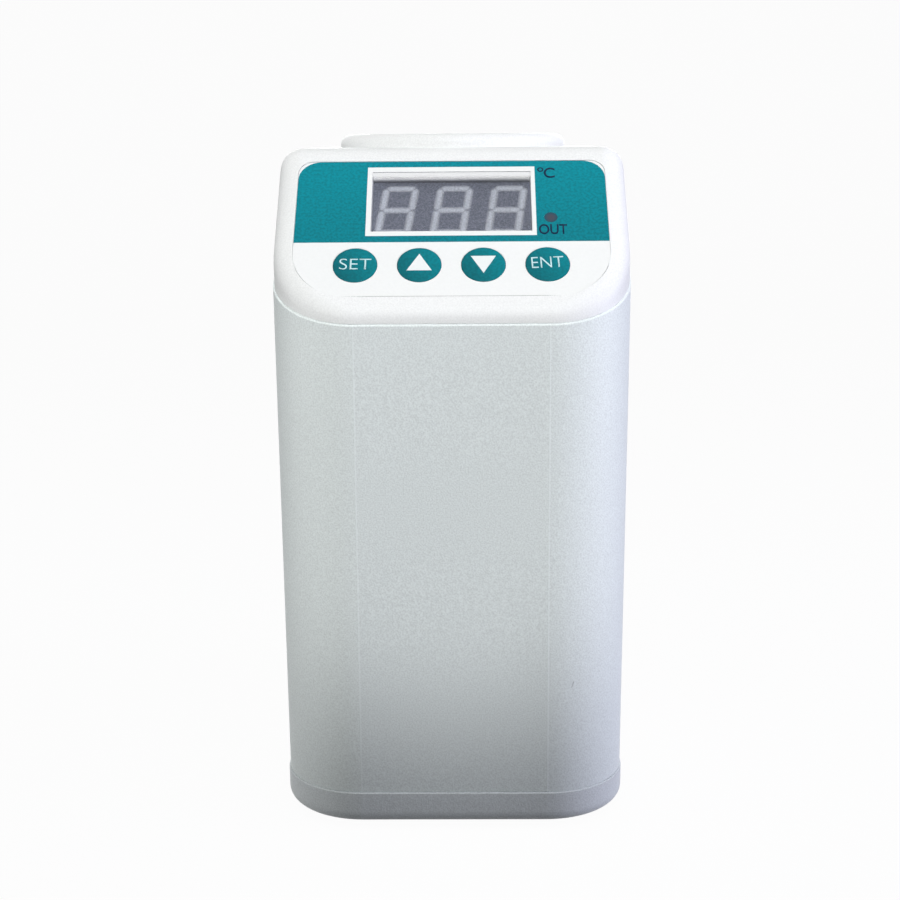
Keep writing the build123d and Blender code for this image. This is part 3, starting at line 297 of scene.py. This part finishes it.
# Printed overlay. A thin polyester sheet in the panel's recess, printed with a teal upper field,
# a white frame round the window and two plain legends beside it; a dark line is painted along its
# lower edge as painted shadow in the gap there.
panel_slope = radians(45)
panel_foot = Vector((0, -0.076, 0.19005))
panel_up = Vector((0, cos(panel_slope), sin(panel_slope)))
panel_out = Vector((0, -sin(panel_slope), cos(panel_slope)))


def on_panel(lift):
    """Frame of a flat piece on the slanted panel: x across, y up the slope, z out of it."""
    turn = Matrix((Vector((1, 0, 0)), panel_up, panel_out)).transposed().to_4x4()
    return Matrix.Translation(panel_foot + panel_out * lift) @ turn


def rectangle(x0, y0, x1, y1, low_radius=0.0, high_radius=0.0):
    """Corner points of a rectangle, its two low and two high corners rounded alike."""
    points = []
    corners = [(x1, y0, -90, low_radius), (x1, y1, 0, high_radius)]
    corners += [(x0, y1, 90, high_radius), (x0, y0, 180, low_radius)]
    for x, y, start, radius in corners:
        middle_x = x - radius if x == x1 else x + radius
        middle_y = y - radius if y == y1 else y + radius
        steps = 16 if radius else 0
        for step in range(steps + 1):
            angle = radians(start + 90 * step / max(steps, 1))
            points.append((middle_x + radius * cos(angle), middle_y + radius * sin(angle)))
    return points


def circle(x, y, radius, count=48):
    turns = [2 * pi * step / count for step in range(count)]
    return [(x + radius * cos(angle), y + radius * sin(angle)) for angle in turns]


def as_piece(name, curve, place, finish, body):
    """Turns a flat curve into a mesh piece that lies at a place and rides on a body."""
    pattern = bpy.data.objects.new(name + "_pattern", curve)
    bpy.context.scene.collection.objects.link(pattern)
    bpy.context.view_layer.update()
    shaped = pattern.evaluated_get(bpy.context.evaluated_depsgraph_get())
    made = bpy.data.meshes.new_from_object(shaped)
    bpy.data.objects.remove(pattern)
    piece = bpy.data.objects.new(name, made)
    piece.data.materials.clear()
    piece.data.materials.append(finish.material)
    piece.matrix_world = place
    bpy.context.scene.collection.objects.link(piece)
    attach(piece, body)
    return piece


def print_layer(name, outlines, place, thickness, finish, body="case"):
    """A thin flat layer cut to the outlines, in millimetres; outlines inside others are holes."""
    curve = bpy.data.curves.new(name, "CURVE")
    curve.dimensions, curve.fill_mode, curve.extrude = "2D", "BOTH", thickness / 2
    for outline in outlines:
        spline = curve.splines.new("POLY")
        spline.points.add(len(outline) - 1)
        spline.use_cyclic_u = True
        for point, (x, y) in zip(spline.points, outline):
            point.co = (x / 1000, y / 1000, 0, 1)
    return as_piece(name, curve, place, finish, body)


def legend(
    name, words, middle, size, place, thickness, finish,
    body="case", weight=0.0, turn=0.0,
):
    """Printed capitals in a plain face, drawn to a width and a height about a middle point."""
    curve = bpy.data.curves.new(name, "FONT")
    curve.body, curve.fill_mode, curve.offset = words, "BOTH", weight
    piece = as_piece(name, curve, Matrix.Identity(4), finish, body)
    for axis, length in enumerate(size):
        places = [vertex.co[axis] for vertex in piece.data.vertices]
        low, high = min(places), max(places)
        for vertex in piece.data.vertices:
            vertex.co[axis] = ((vertex.co[axis] - low) / (high - low) - 0.5) * length / 1000
    thick = piece.modifiers.new("thickness", "SOLIDIFY")
    thick.thickness, thick.offset = thickness, 1.0
    turned = Matrix.Rotation(radians(turn), 4, "Z")
    piece.matrix_world = place @ Matrix.Translation((middle[0] / 1000, middle[1] / 1000, 0)) @ turned
    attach(piece, body)


def printed_ink(name, colour, fleck=0.05, gloss=0.12, painted_shading=None):
    """Matt screen ink under a satin film: a fine even fleck and slow changes of tone, times a painted
    shading where one is given.
    """
    finish = Finish(name)
    fine = finish.noise(1000.0, 1.0).ramp(0.3, 0.7)
    cloud = finish.noise(16.0, 2.0)
    middle_share = 1.0 - fleck
    shade = middle_share + (fine - 0.5) * fleck * 0.9 + (cloud - 0.5) * fleck * 0.6
    # Painted light and shade: the tone is scaled by place by the given shading.
    if painted_shading:
        shade = shade * painted_shading(*finish.place())
    brightest = tuple(part / middle_share for part in colour)
    finish.surface(
        Base_Color=finish.mix(shade, (0.0, 0.0, 0.0), brightest),
        Roughness=0.42 + fine * 0.1,
        Specular_IOR_Level=gloss,
        Normal=finish.bump(fine, 0.25, 0.00003),
    )
    return finish


def field_painted_light(across, along, up):
    """Painted light: the teal field is painted a little paler towards the top of the panel."""
    return along.ramp(0.028, 0.068, 0.94, 1.13)


white_ink = printed_ink("white_ink", (0.895, 0.912, 0.903), 0.02, 0.2)
teal_ink = printed_ink("teal_ink", (0.0012, 0.218, 0.268), 0.24, 0.09, field_painted_light)
navy_ink = printed_ink("navy_ink", (0.002, 0.017, 0.052), 0.05)
white_ink.coat("panel_overlay")
overlay_top = on_panel(-0.0002)
field = rectangle(-55.5, 30.0, 55.5, 68.66, 0.0, 8.3)
frame_outside = rectangle(-30.4, 32.9, 30.1, 65.9)
window_hole = rectangle(-28.6, 35.0, 28.6, 63.6)
lamp_x, lamp_y, lamp_radius = 35.3, 41.2, 2.35
lamp_hole = circle(lamp_x, lamp_y, lamp_radius)
print_layer("teal_field", [field, frame_outside, lamp_hole], overlay_top, 0.00005, teal_ink)
print_layer("window_frame", [frame_outside, window_hole], overlay_top, 0.00006, white_ink)
# Painted shadow: a dark grey strip, fading out at both ends, stands for the shade in the gap under the
# sheet's lower edge.
painted_edge_shadow = Finish("painted_edge_shadow")
shadow_across = painted_edge_shadow.place()[0]
shadow_fleck = painted_edge_shadow.noise(700.0, 3.0)
painted_edge_shadow.surface(
    Base_Color=painted_edge_shadow.mix(shadow_fleck, (0.30, 0.30, 0.29), (0.42, 0.42, 0.41)),
    Roughness=0.9,
    Specular_IOR_Level=0.1,
    Alpha=abs(shadow_across).ramp(0.022, 0.040, 0.85, 0.0) * (0.7 + shadow_fleck * 0.5),
)
print_layer("edge_gap", [rectangle(-42.0, 5.32, 42.0, 5.62)], on_panel(-0.00015), 0.00004, painted_edge_shadow)
layer_top = on_panel(-0.00017)
degree_outlines = [circle(32.2, 64.3, radius) for radius in (1.15, 0.6)]
print_layer("degree_ring", degree_outlines, layer_top, 0.00004, navy_ink)
legend("degree_letter", "C", (35.4, 62.7), (4.0, 5.0), layer_top, 0.00002, navy_ink, weight=0.012)
legend("output_legend", "OUT", (35.9, 35.6), (10.0, 4.7), layer_top, 0.00002, navy_ink, weight=0.012)

# Display window. A clear plate with a matt, slightly milky film, pressed up behind the overlay
# into its opening; the film takes the hard edge off everything behind it, and along its upper
# edge a pale band fading downwards is painted as painted light where the opening lies in shade.
window_film = Finish("window_film")
speckle = window_film.noise(1500.0, 1.0)
window_film.surface(
    Base_Color=(0.50, 0.52, 0.58),
    Roughness=0.45,
    Specular_IOR_Level=0.15,
    Alpha=0.05 + speckle * 0.04,
)
window_film.coat("display_window")
# Painted light: a pale layer whose alpha fades downwards brightens the shaded top of the window opening.
painted_light_band = Finish("painted_light_band")
band_along = painted_light_band.place()[1]
band_fleck = painted_light_band.noise(1500.0, 1.0)
painted_light_band.surface(
    Base_Color=painted_light_band.mix(band_fleck, (0.74, 0.75, 0.75), (0.82, 0.83, 0.83)),
    Roughness=0.6,
    Specular_IOR_Level=0.1,
    Alpha=band_along.ramp(0.0603, 0.0622, 0.0, 0.9),
)
band_outline = rectangle(-28.5, 60.3, 28.5, 63.25)
window_shade = print_layer("window_shade", [band_outline], layer_top, 0.00003, painted_light_band)
# The painted light band casts no shadow on the foam strip below it.
window_shade.visible_shadow = False

# Display block. A dark grey moulded block that fills the cover's hood behind the window, soldered
# to the display board.
block_plastic = Finish("block_plastic")
block_fleck = block_plastic.noise(1500.0, 2.0).ramp(0.28, 0.72)
block_plastic.surface(
    Base_Color=block_plastic.mix(block_fleck, (0.060, 0.070, 0.098), (0.150, 0.165, 0.225)),
    Roughness=0.6,
    Specular_IOR_Level=0.2,
)
block_plastic.coat("led_display")

# Foam strip. A white foam strip stuck along the top of the window, between its plate and the
# block, and squeezed to a bulge; its lower edge is painted darker as painted shade.
gasket_foam = Finish("gasket_foam")
gasket_along = gasket_foam.place()[1]
gasket_cells = gasket_foam.noise(1300.0, 2.0)
# Painted shade: the strip's lower edge is painted a dark grey where its lip shades it.
gasket_painted_shade = gasket_along.ramp(0.0618, 0.0627, 0.3, 1.0)
gasket_shade_and_cells = gasket_painted_shade * (0.94 + gasket_cells * 0.1)
gasket_foam.surface(
    Base_Color=gasket_foam.mix(gasket_shade_and_cells, (0.24, 0.245, 0.27), (0.90, 0.90, 0.88)),
    Roughness=0.8,
    Specular_IOR_Level=0.2,
    Normal=gasket_foam.bump(gasket_cells, 0.4, 0.00006),
)
strip = bmesh.new()
strip_section = [(63.5, -1.95), (63.2, -2.02), (62.5, -2.6), (62.25, -3.0), (62.3, -3.6), (63.5, -4.75)]
left_end, right_end = [
    [strip.verts.new((x / 1000, y / 1000, z / 1000)) for y, z in strip_section] for x in (-28.4, 28.4)
]
strip.faces.new(left_end)
strip.faces.new(reversed(right_end))
for here in range(len(strip_section)):
    after = (here + 1) % len(strip_section)
    strip.faces.new((left_end[after], left_end[here], right_end[here], right_end[after]))
bmesh.ops.recalc_face_normals(strip, faces=strip.faces)
display_gasket = bpy.data.objects.new("display_gasket", bpy.data.meshes.new("display_gasket"))
strip.to_mesh(display_gasket.data)
display_gasket.data.materials.append(gasket_foam.material)
display_gasket.matrix_world = on_panel(0)
bpy.context.scene.collection.objects.link(display_gasket)
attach(display_gasket, "case")

# Digits. Three leaning seven-bar digits in milky resin, cast into the face of the block and unlit;
# the bars look soft through the film, so they are one layer with soft-edged bars.
bar_resin = Finish("bar_resin")
bar_across, bar_up = [1000 * value for value in bar_resin.place()[:2]]
digit_pitch, half_width, half_height, half_stroke = 19.7, 5.25, 10.45, 1.02
digit_lean = tan(radians(7.5))
from_middle = bar_across - (bar_across / digit_pitch).rounded() * digit_pitch - bar_up * digit_lean
end_gap = half_stroke + 0.3


def apart(x, y):
    """Length of a step across and up."""
    return (x * x + y * y) ** 0.5


past_end = (abs(from_middle) - (half_width - end_gap)).most(0.0)
past_tip = (abs(abs(bar_up) - half_height / 2) - (half_height / 2 - end_gap)).most(0.0)
nearest = apart(abs(from_middle) - half_width, past_tip)
nearest = nearest.least(apart(past_end, abs(bar_up) - half_height)).least(apart(past_end, bar_up))
bar_share = nearest.ramp(half_stroke - 0.75, half_stroke + 0.85, 1.0, 0.0)
bar_fleck = bar_resin.noise(1400.0, 2.0).ramp(0.25, 0.75)
bar_resin.surface(
    Base_Color=bar_resin.mix(bar_fleck, (0.38, 0.41, 0.475), (0.62, 0.65, 0.725)),
    Roughness=0.5,
    Specular_IOR_Level=0.2,
    Alpha=bar_share * 0.92,
)
block_face = rectangle(-28.2, -13.2, 28.2, 13.3)
digit_place = on_panel(-0.00482) @ Matrix.Translation((0, 0.0491, 0))
digit_layer = print_layer("digit_bars", [block_face], digit_place, 0.00004, bar_resin)
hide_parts("display_digits")

# Output lamp. A small smoke-tinted lens set in the overlay over a round red lamp, whose two
# legs are soldered to the display board; it is unlit.
lens_tint = Finish("lens_tint")
lens_fleck = lens_tint.noise(1900.0, 2.0)
lens_across, _, lens_up = lens_tint.place()
lens_middle = overlay_top @ Vector((lamp_x / 1000, lamp_y / 1000, 0))
lens_out = ((lens_across - lens_middle.x) ** 2 + (lens_up - lens_middle.z) ** 2 * 2.0) ** 0.5
rim_share = lens_out.ramp(0.0008, 0.0023) * (0.8 + lens_fleck * 0.3)
lens_tint.surface(
    Base_Color=lens_tint.mix(rim_share, (0.036, 0.046, 0.070), (0.002, 0.055, 0.090)),
    Roughness=0.4,
    Specular_IOR_Level=0.25,
)
lens_tint.coat("lamp_lens")
lamp_resin = Finish("lamp_resin")
lamp_cloud = lamp_resin.noise(400.0, 2.0)
lamp_resin.surface(
    Base_Color=lamp_resin.mix(lamp_cloud, (0.35, 0.03, 0.02), (0.5, 0.06, 0.04)),
    Roughness=0.15,
    Coat_Weight=0.5,
)
lamp_resin.coat("output_lamp")

# Keys. Four round caps in holes of the panel, moulded in teal with a satin face, each with a
# flange behind the panel and a stem on its switch; white marks are printed on their faces.
key_pitch, key_radius, key_height = 0.0223, 0.0074, 0.0195
key_names = ("set", "up", "down", "enter")


def key_painted_shading(across, along, up):
    """Painted shading: each cap's ink is painted darker at its lower left and paler at its upper right, as
    light falls on a crowned cap.
    """
    sideways = across - ((across / key_pitch - 0.5).rounded() + 0.5) * key_pitch
    upwards = (along - panel_foot.y) * panel_up.y + (up - panel_foot.z) * panel_up.z - key_height
    return 0.90 + sideways * (0.2 / key_radius) + upwards * (0.11 / key_radius)


key_teal = printed_ink("key_teal", (0.0012, 0.190, 0.227), 0.20, 0.09, key_painted_shading)
mark_white = printed_ink("mark_white", (0.86, 0.90, 0.90), 0.02, 0.2)
word_white = printed_ink("word_white", (0.62, 0.84, 0.86), 0.02, 0.2)
key_top = on_panel(0.00002)
key_teal.coat(*[name + "_button" for name in key_names])
for mark_name, words, middle, size, body, turn in (
    ("set_mark", "SET", (-33.4, 19.9), (11.1, 4.9), "set_key", -0.5),
    ("enter_mark", "ENT", (33.4, 20.3), (11.2, 4.9), "enter_key", 2.5),
):
    legend(mark_name, words, middle, size, key_top, 0.00003, word_white, body, -0.009, turn)
arrow_x, arrow_y = key_pitch * 500, key_height * 1000
arrow_up = [(-arrow_x + x, arrow_y + y) for x, y in ((-4.4, -2.6), (4.4, -2.6), (0.0, 4.9))]
arrow_down = [(arrow_x + x, arrow_y + y) for x, y in ((-4.4, 3.8), (0.0, -3.9), (4.4, 3.8))]
print_layer("up_mark", [arrow_up], key_top, 0.00006, mark_white, "up_key")
print_layer("down_mark", [arrow_down], key_top, 0.00006, mark_white, "down_key")

# Boards. Two glass-fibre boards under green lacquer with parts in black nylon: the display board
# on the cover's posts carries the four push switches, the power board stands on the base. Small
# zinc-plated screws hold them and the case.
board_lacquer = Finish("board_lacquer")
weave = board_lacquer.noise(900.0, 2.0, (1.0, 6.0, 6.0))
weave = weave + board_lacquer.noise(900.0, 2.0, (6.0, 1.0, 1.0))
board_lacquer.surface(
    Base_Color=board_lacquer.mix(weave * 0.5, (0.01, 0.10, 0.04), (0.02, 0.20, 0.08)),
    Roughness=0.3,
    Coat_Weight=0.4,
    Normal=board_lacquer.bump(weave, 0.2, 0.00003),
)
board_lacquer.coat("display_board", "power_board")
black_nylon = Finish("black_nylon")
nylon_grain = black_nylon.noise(1300.0, 2.0)
black_nylon.surface(
    Base_Color=black_nylon.mix(nylon_grain, (0.012, 0.012, 0.013), (0.03, 0.03, 0.032)),
    Roughness=0.38 + nylon_grain * 0.1,
    Normal=black_nylon.bump(nylon_grain, 0.3, 0.00004),
)
black_nylon.coat("key_switches", "display_board_chips", *[name + "_plunger" for name in key_names])
black_nylon.coat("heater_relay", "power_board_parts", "thermal_cutout")
zinc_steel = Finish("zinc_steel")
plating = zinc_steel.noise(700.0, 3.0)
zinc_steel.surface(
    Base_Color=zinc_steel.mix(plating, (0.46, 0.47, 0.48), (0.66, 0.66, 0.67)),
    Metallic=1.0,
    Roughness=0.28 + plating * 0.16,
    Normal=zinc_steel.bump(plating, 0.2, 0.00003),
)
zinc_steel.coat("display_board_screws", "power_board_screws", "base_screws", "cover_screws")

# Well. A drawn aluminium cup with fine rings from turning, stood on a black seat, its flange
# pressed up against the deck through a white silicone gasket, with a soft pad for the bottle.
turned_metal = Finish("turned_metal")
rings = turned_metal.noise(260.0, 3.0, (0.02, 0.02, 14.0))
metal_cloud = turned_metal.noise(30.0, 2.0)
turned_metal.surface(
    Base_Color=turned_metal.mix(metal_cloud, (0.66, 0.67, 0.68), (0.80, 0.81, 0.82)),
    Metallic=1.0,
    Roughness=0.3 + rings * 0.18,
    Normal=turned_metal.bump(rings, 0.35, 0.00004),
)
turned_metal.coat("well_liner", "temperature_sensor")
white_silicone = Finish("white_silicone")
dust = white_silicone.noise(500.0, 4.0)
white_silicone.surface(
    Base_Color=white_silicone.mix(dust, (0.62, 0.61, 0.58), (0.74, 0.73, 0.70)),
    Roughness=0.55 + dust * 0.15,
    Normal=white_silicone.bump(dust, 0.3, 0.00005),
)
black_nylon.coat("well_seat")
liner_low, liner_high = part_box("well_liner")
well_x, well_y = [(liner_low[axis] + liner_high[axis]) / 2 for axis in (0, 1)]


def ring(mesh, section, first=0.0, last=360.0, swell=None, steps=120):
    """Adds a ring about the well's axis; angles run from the front, and swell moves points out."""
    closed = last - first == 360.0
    rows = []
    for step in range(steps if closed else steps + 1):
        angle = radians(first + (last - first) * step / steps)
        row = []
        for radius, height in section:
            out = (radius + (swell(angle, radius, height) if swell else 0.0)) / 1000
            corner = (well_x + out * sin(angle), well_y - out * cos(angle), height / 1000)
            row.append(mesh.verts.new(corner))
        rows.append(row)
    for here, after in zip(rows, rows[1:] + ([rows[0]] if closed else [])):
        for low in range(len(section)):
            high = (low + 1) % len(section)
            mesh.faces.new((here[low], after[low], after[high], here[high]))
    if not closed:
        mesh.faces.new(rows[0])
        mesh.faces.new(reversed(rows[-1]))


def soft_piece(name, mesh, finish, node):
    """Closes a mesh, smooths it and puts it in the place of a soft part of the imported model."""
    bmesh.ops.remove_doubles(mesh, verts=mesh.verts, dist=1e-7)
    bmesh.ops.dissolve_degenerate(mesh, dist=1e-8, edges=mesh.edges)
    bmesh.ops.recalc_face_normals(mesh, faces=mesh.faces)
    piece = bpy.data.objects.new(name, bpy.data.meshes.new(name))
    mesh.to_mesh(piece.data)
    for face in piece.data.polygons:
        face.use_smooth = True
    piece.data.set_sharp_from_angle(angle=radians(50))
    piece.data.materials.append(finish.material)
    bpy.context.scene.collection.objects.link(piece)
    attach(piece, "case")
    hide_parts(node)
    return piece


pad_low, pad_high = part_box("bottle_pad")
pad_radius = (pad_high[0] - pad_low[0]) * 500
pad_under, pad_top = pad_low[2] * 1000, pad_high[2] * 1000
pad_section = [(0, pad_under), (pad_radius - 0.3, pad_under), (pad_radius, pad_under + 0.3)]
pad_section += [(pad_radius, pad_top - 0.5), (pad_radius - 0.15, pad_top - 0.15)]
pad_section.append((pad_radius - 0.5, pad_top))
rib_pitch, first_groove = 4.3, 2.4
groove = [(0.0, 0.0), (0.25, 0.1), (0.5, 0.45), (1.5, 0.45), (1.75, 0.1), (2.0, 0.0)]
for rib in range(7):
    outer = pad_radius - first_groove - rib * rib_pitch
    pad_section += [(outer - inward, pad_top - deep) for inward, deep in groove]
pad_section.append((0, pad_top))
pad_mesh = bmesh.new()
ring(pad_mesh, pad_section)
soft_piece("ribbed_pad", pad_mesh, white_silicone, "bottle_pad")

seal_low, seal_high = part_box("well_gasket")
flange_width = 5.0
seal_in = (liner_high[0] - liner_low[0]) * 500 - flange_width
seal_out = (seal_high[0] - seal_low[0]) * 500
seal_under, seal_top = seal_low[2] * 1000, seal_high[2] * 1000
seal_section = [(seal_in + 0.1, seal_under + 0.3), (seal_in + 0.4, seal_under)]
seal_section += [(seal_out - 0.5, seal_under), (seal_out, seal_under + 0.5)]
seal_section += [(seal_out, seal_top - 0.5), (seal_out - 0.5, seal_top)]
seal_section += [(seal_in + 0.5, seal_top), (seal_in + 0.15, seal_top - 0.3)]
seal_section.append((seal_in, seal_top - 0.75))
seal_mesh = bmesh.new()
ring(seal_mesh, seal_section)
soft_piece("well_seal", seal_mesh, white_silicone, "well_gasket")

# Heating. An orange-red silicone heater mat with its tracks raised in rows is vulcanised round
# the cup; a grey foam sleeve is drawn in by two woven straps, each closed by an overlap at the
# back, and they hold the probe and the cut-out against the cup in the gap in front.
heater_silicone = Finish("heater_silicone")
cloth = heater_silicone.noise(1100.0, 1.0, (1.0, 1.0, 5.0))
cloth = cloth * heater_silicone.noise(1100.0, 1.0, (5.0, 5.0, 1.0))
track_pitch = 0.006
rows_up = heater_silicone.place()[2] / track_pitch
track = abs(rows_up - rows_up.rounded()).ramp(0.18, 0.30, 1.0, 0.0)
mat_share = cloth * 2.0 - track * 0.25
heater_silicone.surface(
    Base_Color=heater_silicone.mix(mat_share, (0.38, 0.065, 0.022), (0.62, 0.15, 0.05)),
    Roughness=0.6,
    Normal=heater_silicone.bump(cloth * 0.3 + track, 0.8, 0.00025),
)
mat_low, mat_high = [[1000 * value for value in corner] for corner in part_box("heater_mat")]
mat_in, mat_out, mat_edge = 36.53, 37.92, 0.35
mat_bottom, mat_top = mat_low[2], mat_high[2]
mat_section = [(mat_in, mat_bottom), (mat_out - mat_edge, mat_bottom), (mat_out, mat_bottom + mat_edge)]
mat_section += [(mat_out, mat_top - mat_edge), (mat_out - mat_edge, mat_top), (mat_in, mat_top)]
tab_bottom, tab_top, tab_out = mat_bottom + 3.0, mat_bottom + 15.0, mat_out - 0.1
tab_section = [(mat_in, tab_bottom), (mat_out - mat_edge, tab_bottom), (tab_out, tab_bottom + 0.3)]
tab_section += [(tab_out, tab_top - 0.3), (mat_out - mat_edge, tab_top), (mat_in, tab_top)]
mat_mesh = bmesh.new()
ring(mat_mesh, mat_section, 17.2, 342.8)
for first_angle, last_angle in ((10.9, 17.25), (342.75, 349.1)):
    ring(mat_mesh, tab_section, first_angle, last_angle, steps=4)
soft_piece("heating_mat", mat_mesh, heater_silicone, "heater_mat")

foam = Finish("foam")
cells = foam.noise(900.0, 4.0)
foam.surface(
    Base_Color=foam.mix(cells, (0.10, 0.10, 0.105), (0.24, 0.24, 0.25)),
    Roughness=0.9,
    Normal=foam.bump(cells, 0.8, 0.0003),
)
foam_low, foam_high = [[1000 * value for value in corner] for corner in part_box("insulation_sleeve")]
strap_low, strap_high = [[1000 * value for value in corner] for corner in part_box("sleeve_straps")]
strap_heights = (strap_low[2] + 3.0, strap_high[2] - 3.0)
foam_in, foam_out, foam_levels = 38.03, 41.82, 44


def foam_swell(angle, radius, height):
    """The sleeve's outside is uneven and drawn in under each strap; its inside keeps its form."""
    if radius < (foam_in + foam_out) / 2:
        return 0.0
    drawn_in = sum(0.55 * exp(-(((height - strap) / 4.5) ** 2)) for strap in strap_heights)
    uneven = 0.09 * sin(5 * angle + height * 0.11) + 0.06 * sin(11 * angle - height * 0.23)
    return uneven - drawn_in


foam_edge = [(foam_in, 0.6), (38.6, 0.0), (40.9, 0.0), (41.6, 0.7)]
foam_section = [(radius, foam_low[2] + inset) for radius, inset in foam_edge]
for level in range(1, foam_levels):
    foam_section.append((foam_out, foam_low[2] + (foam_high[2] - foam_low[2]) * level / foam_levels))
foam_section += [(radius, foam_high[2] - inset) for radius, inset in reversed(foam_edge)]
foam_mesh = bmesh.new()
ring(foam_mesh, foam_section, 19.0, 341.0, foam_swell, 140)
soft_piece("foam_sleeve", foam_mesh, foam, "insulation_sleeve")

tape = Finish("tape")
threads = tape.noise(1500.0, 1.0, (1.0, 1.0, 4.0))
threads = threads * tape.noise(1500.0, 1.0, (4.0, 4.0, 1.0))
tape.surface(
    Base_Color=tape.mix(threads * 2.0, (0.012, 0.012, 0.013), (0.05, 0.05, 0.055)),
    Roughness=0.8,
    Normal=tape.bump(threads, 0.8, 0.0001),
)


def strap_swell(angle, radius, height):
    """A strap leaves the foam in front and runs level over the piece that it holds."""
    level_from, ramp_width, level_lift = radians(27), radians(9), 0.57
    from_front = min(angle, 2 * pi - angle)
    share = min(max((level_from - from_front) / ramp_width, 0.0), 1.0)
    return level_lift * share * share * (3 - 2 * share)


strap_in, overlap_in = 41.4, 41.86
flat_tape = [(0.0, -2.9), (0.42, -2.9), (0.45, -2.6), (0.45, 2.6), (0.42, 2.9), (0.0, 2.9)]
strap_mesh = bmesh.new()
for strap in strap_heights:
    strap_section = [(strap_in + out, strap + up) for out, up in flat_tape]
    overlap_section = [(overlap_in + out, strap + up * 0.96) for out, up in flat_tape]
    ring(strap_mesh, strap_section, 0.0, 360.0, strap_swell, 160)
    ring(strap_mesh, overlap_section, 148.0, 214.0, None, 30)
soft_piece("woven_straps", strap_mesh, tape, "sleeve_straps")

# Supply. A round low-voltage socket with a plated brass pin and nut, and a rocker switch in
# glossy black nylon with plain white marks, sit in the rear recess; the wires from both end in a
# green terminal block on the power board.
gloss_black = Finish("gloss_black")
gloss_wave = gloss_black.noise(120.0, 2.0)
gloss_black.surface(
    Base_Color=gloss_black.mix(gloss_wave, (0.012, 0.012, 0.013), (0.02, 0.02, 0.021)),
    Roughness=0.16 + gloss_wave * 0.08,
)
gloss_black.coat("power_rocker", "switch_body", "dc_jack")
rocker_hinge = Vector([joint["pos_m"] for joint in frame["joints"] if joint["name"] == "rocker_tilt"][0])
rocker_lean = radians(11)
rocker_out = Vector((0, cos(rocker_lean), -sin(rocker_lean)))
rocker_up = Vector((0, sin(rocker_lean), cos(rocker_lean)))
rocker_middle, rocker_rise, rocker_half = 0.0015, 0.0019, 0.0073
for mark_name, mark_outline, upper in (
    ("on_mark", [rectangle(-0.3, -1.5, 0.3, 1.5)], 1),
    ("off_mark", [circle(0, 0, 1.5), circle(0, 0, 1.0)], -1),
):
    face_up = (rocker_up * rocker_half + rocker_out * rocker_rise * upper).normalized()
    face_out = (rocker_out * rocker_half - rocker_up * rocker_rise * upper).normalized()
    mark_turn = Matrix((face_up.cross(face_out), face_up, face_out)).transposed().to_4x4()
    face_middle = rocker_hinge + rocker_out * (rocker_middle + rocker_rise / 2)
    face_middle += rocker_up * (rocker_half / 2 * upper) + face_out * 0.00002
    mark_place = Matrix.Translation(face_middle) @ mark_turn
    print_layer(mark_name, mark_outline, mark_place, 0.00004, mark_white, "power_rocker")
nickel_brass = Finish("nickel_brass")
nickel_cloud = nickel_brass.noise(600.0, 3.0)
nickel_brass.surface(
    Base_Color=nickel_brass.mix(nickel_cloud, (0.62, 0.52, 0.34), (0.80, 0.70, 0.50)),
    Metallic=1.0,
    Roughness=0.22 + nickel_cloud * 0.12,
)
nickel_brass.coat("jack_pin", "jack_nut", "inlet_terminals")
block_green = Finish("block_green")
green_grain = block_green.noise(800.0, 2.0)
block_green.surface(
    Base_Color=block_green.mix(green_grain, (0.02, 0.22, 0.07), (0.04, 0.30, 0.10)),
    Roughness=0.4,
)
block_green.coat("terminal_block")

# Wires. Stranded copper in soft insulation, red to the heater and black elsewhere, soldered or
# crimped at both ends.
black_tones = ((0.012, 0.012, 0.013), (0.03, 0.03, 0.032))
red_tones = ((0.36, 0.012, 0.01), (0.5, 0.025, 0.02))
for wire_name, wire_colours, wired in (
    ("black_insulation", black_tones, ("supply_leads", "sensor_leads", "display_harness")),
    ("red_insulation", red_tones, ("heater_leads",)),
):
    insulation = Finish(wire_name)
    skin = insulation.noise(700.0, 2.0)
    insulation.surface(
        Base_Color=insulation.mix(skin, *wire_colours),
        Roughness=0.4 + skin * 0.1,
        Normal=insulation.bump(skin, 0.2, 0.00003),
    )
    insulation.coat(*wired)

# Feet. Four soft grey rubber discs glued into recesses under the base, with a dull skin that
# has picked up a little dust.
foot_rubber = Finish("foot_rubber")
foot_dust = foot_rubber.noise(350.0, 4.0)
foot_rubber.surface(
    Base_Color=foot_rubber.mix(foot_dust, (0.10, 0.10, 0.10), (0.19, 0.19, 0.185)),
    Roughness=0.75 + foot_dust * 0.15,
    Normal=foot_rubber.bump(foot_dust, 0.4, 0.0001),
)
foot_rubber.coat("rubber_feet")
